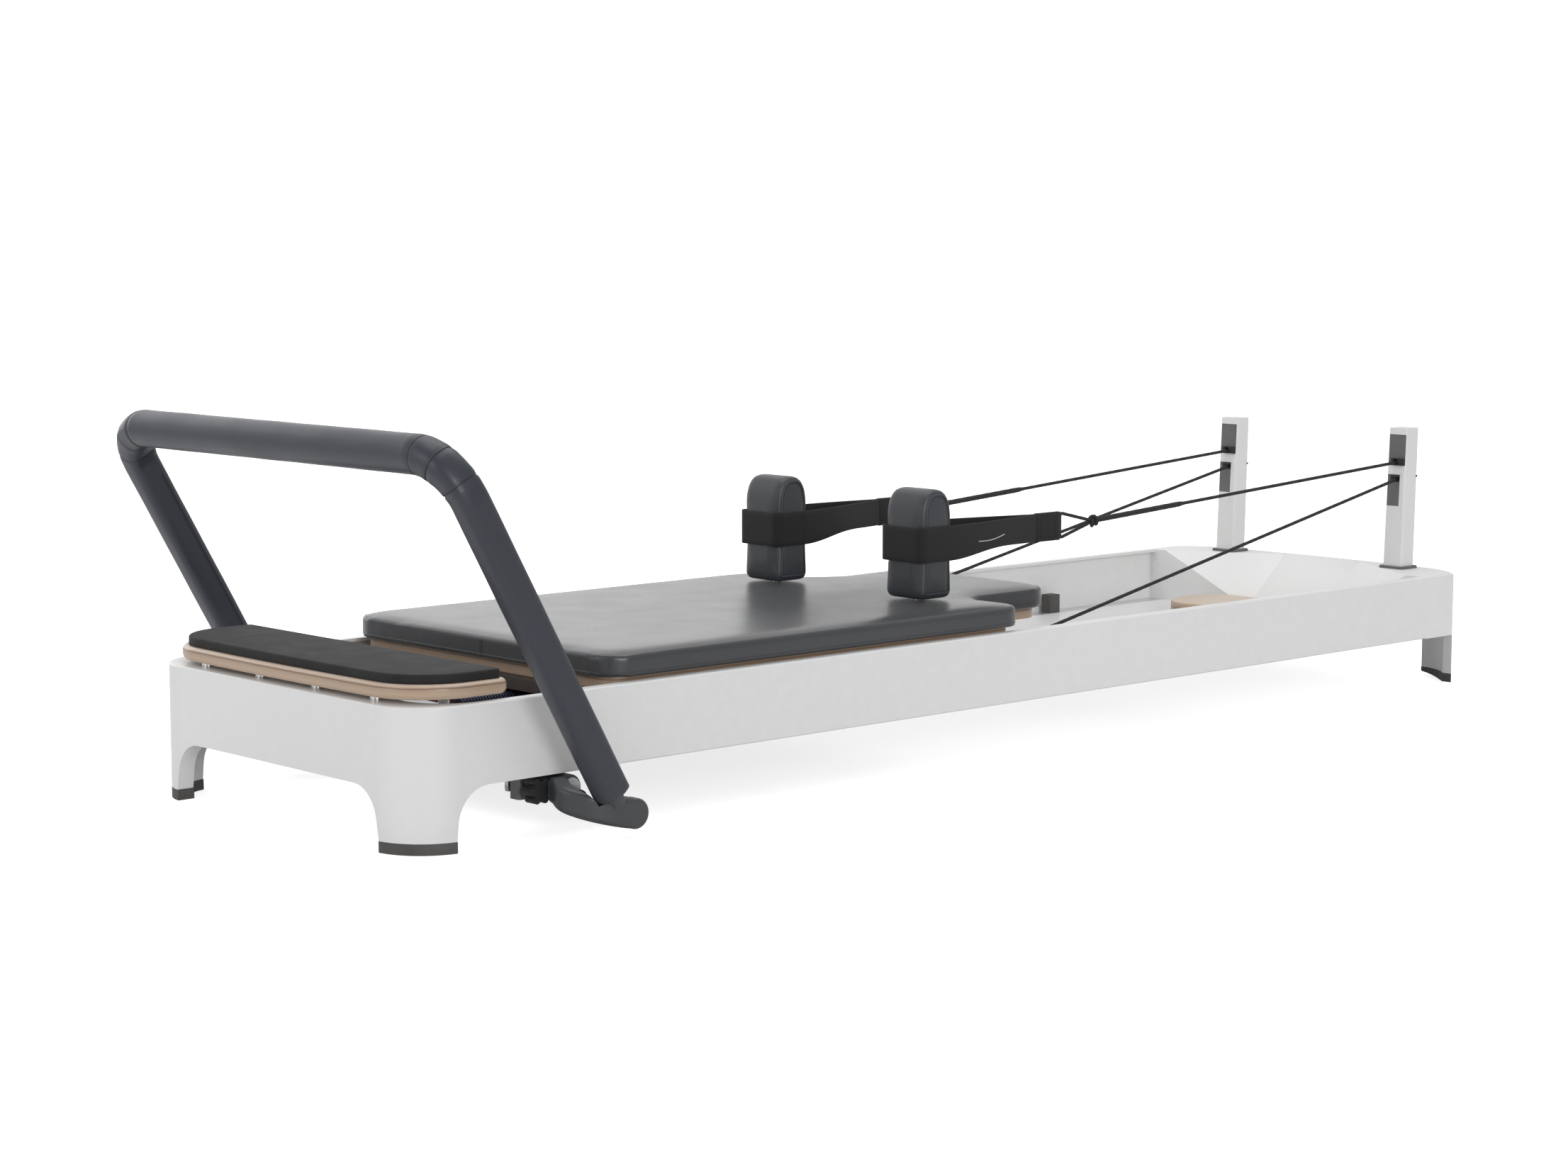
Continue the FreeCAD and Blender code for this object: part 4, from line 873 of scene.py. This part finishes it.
def bar_ring_seam(name, tree, path, at, sign, normal):
    """Thread that lies in the pinch of a ring seam."""
    centre = path[at] if sign < 0 else path[len(path) - 1 - at]
    tangent = (path[at + 1] - path[at - 1]).normalized()
    if sign > 0:
        tangent = Vector((tangent.x, -tangent.y, tangent.z))
    across = normal.cross(tangent)
    ring = []
    for k in range(64):
        turn = 2 * math.pi * k / 64
        ring.append(centre + (normal * math.cos(turn) + across * math.sin(turn)) * 30 * MM)
    mesh = tube(name, laid_on(tree, ring, -0.1 * MM), 0.8 * MM, closed=True, count=6)
    ride_piece(name, mesh, THREAD, "footbar")


def arm_seam(side, tree, centres, sign, normal):
    """Closing seam along the inner face of an arm, with a row of stitches beside it."""
    offset = normal * 13 * MM + Vector((0, -sign * 30 * MM, 0))
    line = [p + offset for p in centres]
    mesh = tube(side + "_arm_seam", laid_on(tree, line, 0.0), 1.1 * MM, count=8)
    ride_piece(side + "_arm_seam", mesh, THREAD, "footbar")
    row = [p - normal * 4 * MM for p in line]
    mesh = stitch_row(side + "_arm_stitches", laid_on(tree, row, 0.1 * MM), pitch=5 * MM)
    ride_piece(side + "_arm_stitches", mesh, THREAD, "footbar")


# Standing mat


def build_mat():
    """Foam mat with a bowed front edge, large front corners and a rounded upper edge."""
    low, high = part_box("platform_mat")
    half = high.y
    corner = 90 * MM
    rear = 10 * MM
    bow = 4 * MM
    front = low.x + bow
    shape = []
    for k in range(41):
        y = (half - corner) * (1 - 2 * k / 40)
        shape.append(Vector((low.x + bow * (y / (half - corner)) ** 2, y, 0)))
    shape += plan_arc((front + corner, -half + corner), corner, 180, 270, 16)[1:]
    shape += plan_arc((high.x - rear, -half + rear), rear, 270, 360, 10)
    shape += plan_arc((high.x - rear, half - rear), rear, 0, 90, 10)
    shape += plan_arc((front + corner, half - corner), corner, 90, 180, 16)[:-1]
    thick = high.z - low.z
    edge = 3.2 * MM
    rings = [(0.4 * MM, 0.0), (0.0, 0.6 * MM)]
    rings += [(edge * b, thick - edge * a) for a, b in round_over(6)]
    rings.append((6 * MM, thick + 0.2 * MM))
    solid = [[p + Vector((0, 0, low.z + z)) for p in inset_outline(shape, inset)] for inset, z in rings]
    mesh = slab_mesh("platform_mat_soft", solid)
    smooth(mesh)
    ride_piece("platform_mat_soft", mesh, FOAM, "frame", "platform_mat")


# Straps, cords and ropes

STRAP_THICK = 2.6 * MM
STRAP_TAIL = 52 * MM
REST_FLANK = 45 * MM
GRIP_END = 22 * MM
KNOT_HIGH = 342 * MM
CORD_RADIUS = 3 * MM
ROPE_WRAP = 14.5 * MM


def ease_in_out(t):
    return t * t * (3 - 2 * t)


def strap_places(side):
    """Rest's middle, tail's middle in Y and Z, band's middle height and the strap's end along X."""
    low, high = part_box(side + "_strap")
    cord_low, cord_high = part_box(side + "_strap_rope")
    rest_low, rest_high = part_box(side + "_rest_pad")
    rest = (rest_low + rest_high) / 2
    tail_y = (cord_low.y + cord_high.y) / 2
    tail_z = (cord_low.z + cord_high.z) / 2
    return rest, tail_y, tail_z, (low.z + high.z) / 2, high.x


def ply_run(rest, end, tail_y, out):
    """Plan points of one ply, from the tail's end to the flank of the rest on one side."""
    start = Vector((end - STRAP_TAIL, tail_y + out * 1.5 * MM, 0))
    flank = REST_FLANK + 0.7 * MM + STRAP_THICK / 2
    stop = Vector((rest.x + GRIP_END, rest.y + out * flank, 0))
    points = [Vector((end, start.y, 0)), start]
    for k in range(1, 25):
        t = k / 24
        ease = ease_in_out(t) * 0.35 + t * 0.65
        bulge = out * 5 * MM * math.sin(math.pi * t)
        y = start.y + (stop.y - start.y) * ease + bulge
        points.append(Vector((start.x + (stop.x - start.x) * t, y, 0)))
    return points


def build_strap(side, sign):
    """One webbing loop: down the outer side, round the rest and back, with a sewn tail."""
    rest, tail_y, tail_z, band_z, end = strap_places(side)
    outer = ply_run(rest, end, tail_y, sign)
    inner = ply_run(rest, end, tail_y, -sign)
    flank = REST_FLANK + 0.7 * MM + STRAP_THICK / 2
    corner = 13 * MM
    x0 = rest.x - (REST_HALF + 0.9 * MM + STRAP_THICK / 2)
    y1 = rest.y + sign * flank
    y0 = rest.y - sign * flank
    wrap = [Vector((x0 + corner * a, y1 - sign * corner * b, 0)) for a, b in round_over(10)]
    wrap += [Vector((x0 + corner * b, y0 + sign * corner * a, 0)) for a, b in round_over(10)]
    plan = resample(outer + wrap + list(reversed(inner)), 4 * MM)
    grip_x = rest.x + GRIP_END

    def section(x):
        """Rounded strip; the band narrows and rises towards the tail."""
        t = min(1.0, max(0.0, (x - grip_x) / (end - grip_x - STRAP_TAIL)))
        ease = ease_in_out(t)
        half = (28 - 5.5 * ease) * MM
        centre = band_z + (tail_z - band_z) * ease
        scoop = 6 * MM * math.sin(math.pi * min(1.0, t * 1.05)) ** 2
        bottom = centre - half + scoop
        top = centre + half
        w = STRAP_THICK / 2
        r = 0.8 * MM
        rows = 8
        left = [(-w, bottom + r + (top - bottom - 2 * r) * k / rows) for k in range(rows + 1)]
        right = [(w, top - r - (top - bottom - 2 * r) * k / rows) for k in range(rows + 1)]
        return left + [(-w + r, top), (w - r, top)] + right + [(w - r, bottom), (-w + r, bottom)]

    mesh = strip(side + "_strap_web", plan, section)
    ride_piece(side + "_strap_web", mesh, WEB, "carriage", side + "_strap")
    strap_sleeve(side, end, tail_y, tail_z)
    # Painted highlight: a pale line along a crease on the outer ply
    strap_highlight_line(side, sign, outer, end - STRAP_TAIL, band_z)


def strip(name, plan, section):
    """Skins upright outlines along a plan path. section(x) gives (across, z) offsets."""
    verts, uvs, faces = [], [], []
    lengths = run_lengths(plan)
    for i, p in enumerate(plan):
        ahead = plan[min(i + 1, len(plan) - 1)]
        behind = plan[max(i - 1, 0)]
        tangent = (ahead - behind).normalized()
        across = Vector((-tangent.y, tangent.x, 0))
        outline = section(p.x)
        verts += [Vector((p.x, p.y, 0)) + across * a + Z_UP * z for a, z in outline]
    count = len(outline)
    for i in range(len(plan) - 1):
        for j in range(count):
            k = (j + 1) % count
            quad = (i * count + j, i * count + k, (i + 1) * count + k, (i + 1) * count + j)
            faces.append(quad)
            uvs.append([(lengths[q // count], verts[q].z) for q in quad])
    last = (len(plan) - 1) * count
    faces.append(tuple(reversed(range(count))))
    faces.append(tuple(range(last, last + count)))
    for face in faces[-2:]:
        uvs.append([(verts[q].y, verts[q].z) for q in face])
    mesh = skin(name, verts, faces, uvs)
    made = bmesh.new()
    made.from_mesh(mesh)
    bmesh.ops.recalc_face_normals(made, faces=made.faces)
    made.to_mesh(mesh)
    made.free()
    return mesh


def strap_sleeve(side, end, tail_y, tail_z):
    """Sewn sleeve over the tail, with a stitched box on each face."""
    half = 22.8 * MM
    w = 3.9 * MM
    r = 0.8 * MM
    start = end - STRAP_TAIL - 4 * MM
    plan = [Vector((start + (end - start) * k / 14, tail_y, 0)) for k in range(15)]
    low, high = tail_z - half, tail_z + half
    left = [(-w, low), (-w, high), (-w + r, high + r)]
    right = [(w - r, high + r), (w, high), (w, low)]
    outline = left + right + [(w - r, low - r), (-w + r, low - r)]
    name = side + "_strap_sleeve"
    ride_piece(name, strip(name, plan, lambda x: outline), WEB, "carriage")
    rows = []
    for out in (-1, 1):
        y = tail_y + out * 4.0 * MM
        x0 = end - STRAP_TAIL + 4 * MM
        x1 = end - 10 * MM
        box = [Vector((x, y, tail_z + z * MM)) for x, z in ((x0, -18), (x1, -18), (x1, 18), (x0, 18))]
        rows.append(stitch_row("row", box + box[:1], 3.2 * MM, 2.4 * MM))
    mesh = join_meshes(side + "_strap_stitches", rows)
    ride_piece(side + "_strap_stitches", mesh, THREAD, "carriage")


def strap_highlight_line(side, sign, outer, join_x, band_z):
    """Short pale line on the outer ply: a painted highlight along a crease of the webbing, drawn as a thin
    pale tube.
    """
    ply = [p for p in outer if join_x - 175 * MM < p.x < join_x - 95 * MM]
    lift = sign * (STRAP_THICK / 2 + 0.3 * MM)
    line = []
    for i, p in enumerate(ply):
        t = i / max(1, len(ply) - 1)
        z = band_z - 2 * MM + 6 * MM * (1 - t) - 3 * MM * math.sin(math.pi * t)
        line.append(Vector((p.x, p.y + lift, z)))
    mesh = tube(side + "_strap_highlight_line", resample(line, 3 * MM), 0.9 * MM, count=8)
    ride_piece(side + "_strap_highlight_line", mesh, PAINTED_HIGHLIGHT, "carriage")


def build_strap_cord(side):
    """Cord triangle between the strap's tail and the knot, and the knot."""
    low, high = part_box(side + "_strap_rope")
    y = (low.y + high.y) / 2
    knot = Vector((high.x - 9 * MM, y, KNOT_HIGH))
    x = low.x + CORD_RADIUS
    top = Vector((x, y, knot.z + 19 * MM))
    bottom = Vector((x, y, knot.z - 23 * MM))
    path = [knot]
    round_off = 7 * MM
    for corner, before, after in ((top, knot, bottom), (bottom, top, knot)):
        a = corner + (before - corner).normalized() * round_off
        b = corner + (after - corner).normalized() * round_off
        for k in range(9):
            t = k / 8
            path.append(a * (1 - t) ** 2 + corner * 2 * t * (1 - t) + b * t * t)
    path.append(knot)
    thin = cord_section(CORD_RADIUS * 0.95)
    mesh = sweep("triangle", resample(path, 1.5 * MM), thin, Vector((0, 1, 0)))
    trefoil = []
    for k in range(120):
        turn = 2 * math.pi * k / 120
        r = (6.2 + 2.6 * math.cos(3 * turn)) * MM
        across = 3.4 * MM * math.sin(3 * turn)
        trefoil.append(knot + Vector((r * math.cos(2 * turn) * 0.9, across, r * math.sin(2 * turn))))
    knot_mesh = sweep("knot", trefoil, cord_section(2.9 * MM), Z_UP, closed=True)
    mesh = join_meshes(side + "_strap_cord", [mesh, knot_mesh])
    ride_piece(side + "_strap_cord", mesh, CORD, "carriage", side + "_strap_rope")


def stretch_along_x(obj):
    """Bakes the placement of a rope or spring into its mesh."""
    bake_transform(obj)


def build_ropes(side, sign):
    """Upper run with its splice, the wrap on the pulley, and the lower run to the cleat."""
    low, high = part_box(side + "_pulley")
    centre = (low + high) / 2
    cord_low, cord_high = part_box(side + "_strap_rope")
    cleats_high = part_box("rope_cleats")[1]
    start = Vector((cord_high.x - 6 * MM, (cord_low.y + cord_high.y) / 2, KNOT_HIGH + 1 * MM))
    cleat = Vector((cleats_high.x - 8 * MM, sign * 205 * MM, 143 * MM))

    def touch(point, out):
        """Where a straight run from a point meets the wrap; out is 1 above the pulley and -1 below."""
        run = Vector((centre.x - point.x, 0, centre.z - point.z))
        angle = math.atan2(run.z, run.x) + out * math.asin(ROPE_WRAP / run.length)
        x = centre.x - out * ROPE_WRAP * math.sin(angle)
        return Vector((x, centre.y, centre.z + out * ROPE_WRAP * math.cos(angle)))

    upper = touch(start, 1)
    lower = touch(cleat, -1)
    a0 = math.atan2(upper.z - centre.z, upper.x - centre.x)
    a1 = math.atan2(lower.z - centre.z, lower.x - centre.x)
    arc = []
    for k in range(1, 24):
        turn = a0 + (a1 - a0) * k / 24
        arc.append(centre + Vector((ROPE_WRAP * math.cos(turn), 0, ROPE_WRAP * math.sin(turn))))
    splice = 0.27 * (upper - start).length
    taper = 12 * MM

    def upper_section(length):
        share = min(1.0, max(0.0, (length - splice + taper) / taper))
        return cord_section((4.7 - 1.7 * share) * MM)(length)

    path = resample([start, upper], 4 * MM) + arc + [lower]
    mesh = sweep(side + "_rope_upper", path, upper_section, Vector((0, 1, 0)))
    obj = piece(side + "_rope_upper", mesh, CORD)
    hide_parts(side + "_rope")
    stretch_along_x(obj)
    path = resample([lower, cleat], 4 * MM)
    mesh = sweep(side + "_rope_lower", path, cord_section(CORD_RADIUS), Vector((0, 1, 0)))
    obj = piece(side + "_rope_lower", mesh, CORD)
    stretch_along_x(obj)


# Springs


def build_spring(name, y, material, stand_in, replaces):
    """Close-wound coil with a straight lead at each end."""
    low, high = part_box(stand_in)
    z = (low.z + high.z) / 2
    x0, x1 = low.x, high.x
    body0, body1 = x0 + 16 * MM, x1 - 12 * MM
    coil = 11.2 * MM
    wire = 1.6 * MM
    turns = 96
    per_turn = 12
    path = [Vector((x0, y, z)), Vector((body0 - 4 * MM, y, z))]
    for k in range(turns * per_turn + 1):
        turn = 2 * math.pi * k / per_turn
        x = body0 + (body1 - body0) * k / (turns * per_turn)
        path.append(Vector((x, y + coil * math.cos(turn), z + coil * math.sin(turn))))
    path += [Vector((body1 + 4 * MM, y, z)), Vector((x1, y, z))]
    mesh = tube(name, path, wire, Z_UP, count=6)
    obj = piece(name, mesh, material)
    if replaces:
        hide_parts(stand_in)
    stretch_along_x(obj)


def build_springs():
    low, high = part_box("springs_firm")
    outer = (high.y - low.y) / 2 - 13 * MM
    for label, y in (("a", -outer), ("b", 0.0), ("c", outer)):
        build_spring("spring_firm_" + label, y, RED_COIL, "springs_firm", label == "a")
    for label, y in (("a", -outer / 2), ("b", outer / 2)):
        build_spring("spring_light_" + label, y, BLUE_COIL, "springs_light", label == "a")


# Stage: floor, light and camera


def floor_material():
    """White floor that lights the machine from below; the camera sees it almost shadowless."""
    mat = blank_material("floor_paint", 0.8)
    shader = mat.node_tree.nodes["Principled BSDF"]
    base = ramp(mat, noise(mat, coordinates(mat), 1.5), [(0.3, 0.80), (0.7, 0.82)])
    join(mat, base, shader.inputs["Base Color"])
    rays = node(mat, "ShaderNodeLightPath")
    shader.inputs["Emission Color"].default_value = (1, 1, 1, 1)
    glow = combine(mat, "MULTIPLY", rays.outputs["Is Camera Ray"], 0.75)
    join(mat, glow, shader.inputs["Emission Strength"])
    return mat


def build_world():
    """Even surround with a brighter backdrop beyond the far side; the camera sees plain white."""
    world = bpy.data.worlds.new("studio")
    world.use_nodes = True
    place = node(world, "ShaderNodeTexCoord")
    aim = node(world, "ShaderNodeVectorMath")
    aim.operation = "DOT_PRODUCT"
    aim.inputs[1].default_value = Vector((0.34, 0.93, 0.12)).normalized()
    join(world, place.outputs["Generated"], aim.inputs[0])
    level = ramp(world, aim.outputs["Value"], [(0.0, 0.36), (0.80, 0.48), (0.97, 1.0)])
    rays = node(world, "ShaderNodeLightPath")
    seen = shade(world, level, (1.0, 1.0, 1.0), rays.outputs["Is Camera Ray"])
    join(world, seen, world.node_tree.nodes["Background"].inputs["Color"])
    world.node_tree.nodes["Background"].inputs["Strength"].default_value = 1.3
    bpy.context.scene.world = world


def add_aimed(name, data, direction):
    """Lamp or camera that points along a direction."""
    obj = add_object(name, data)
    obj.rotation_mode = "QUATERNION"
    obj.rotation_quaternion = direction.to_track_quat("-Z", "Y")
    return obj


def build_stage():
    mesh = bpy.data.meshes.new("floor")
    size = 40.0
    corners = [(-size, -size, 0), (size, -size, 0), (size, size, 0), (-size, size, 0)]
    mesh.from_pydata(corners, [], [(0, 1, 2, 3)])
    floor = add_object("floor", mesh)
    mesh.materials.append(floor_material())
    build_world()
    lamps = (
        ("top_light", (0.2, 0.4, 4.2), 3.5, 68),
        ("foot_light", (-5.0, 0.3, 1.9), 2.5, 32),
        ("back_light", (-1.2, 3.6, 1.5), 2.2, 14),
    )
    for name, place, size, power in lamps:
        light = bpy.data.lights.new(name, "AREA")
        light.size = size
        light.energy = power
        lamp = add_aimed(name, light, Vector((0, 0, 0.2)) - Vector(place))
        lamp.location = place
    light = bpy.data.lights.new("side_light", "SUN")
    light.energy = 0.85
    light.angle = math.radians(22)
    add_aimed("side_light", light, Vector((0.30, 1.0, -0.3)))


def build_camera():
    data = bpy.data.cameras.new("camera")
    data.sensor_width = 36.0
    data.lens = 70.63
    yaw = math.radians(42.61)
    pitch = math.radians(6.898)
    level = math.cos(pitch)
    look = Vector((math.sin(yaw) * level, math.cos(yaw) * level, -math.sin(pitch)))
    cam = add_aimed("camera", data, look)
    cam.location = (-3.5345, -3.6059, 0.8487)
    bpy.context.scene.camera = cam


bpy.context.scene.view_settings.view_transform = "Standard"
dress_cad_nodes()
build_carriage_pad()
for rest_side, rest_sign in SIDES:
    build_rest(rest_side, rest_sign)
    build_strap(rest_side, rest_sign)
    build_strap_cord(rest_side)
    build_ropes(rest_side, rest_sign)
build_footbar_cover()
build_mat()
build_springs()
build_stage()
build_camera()
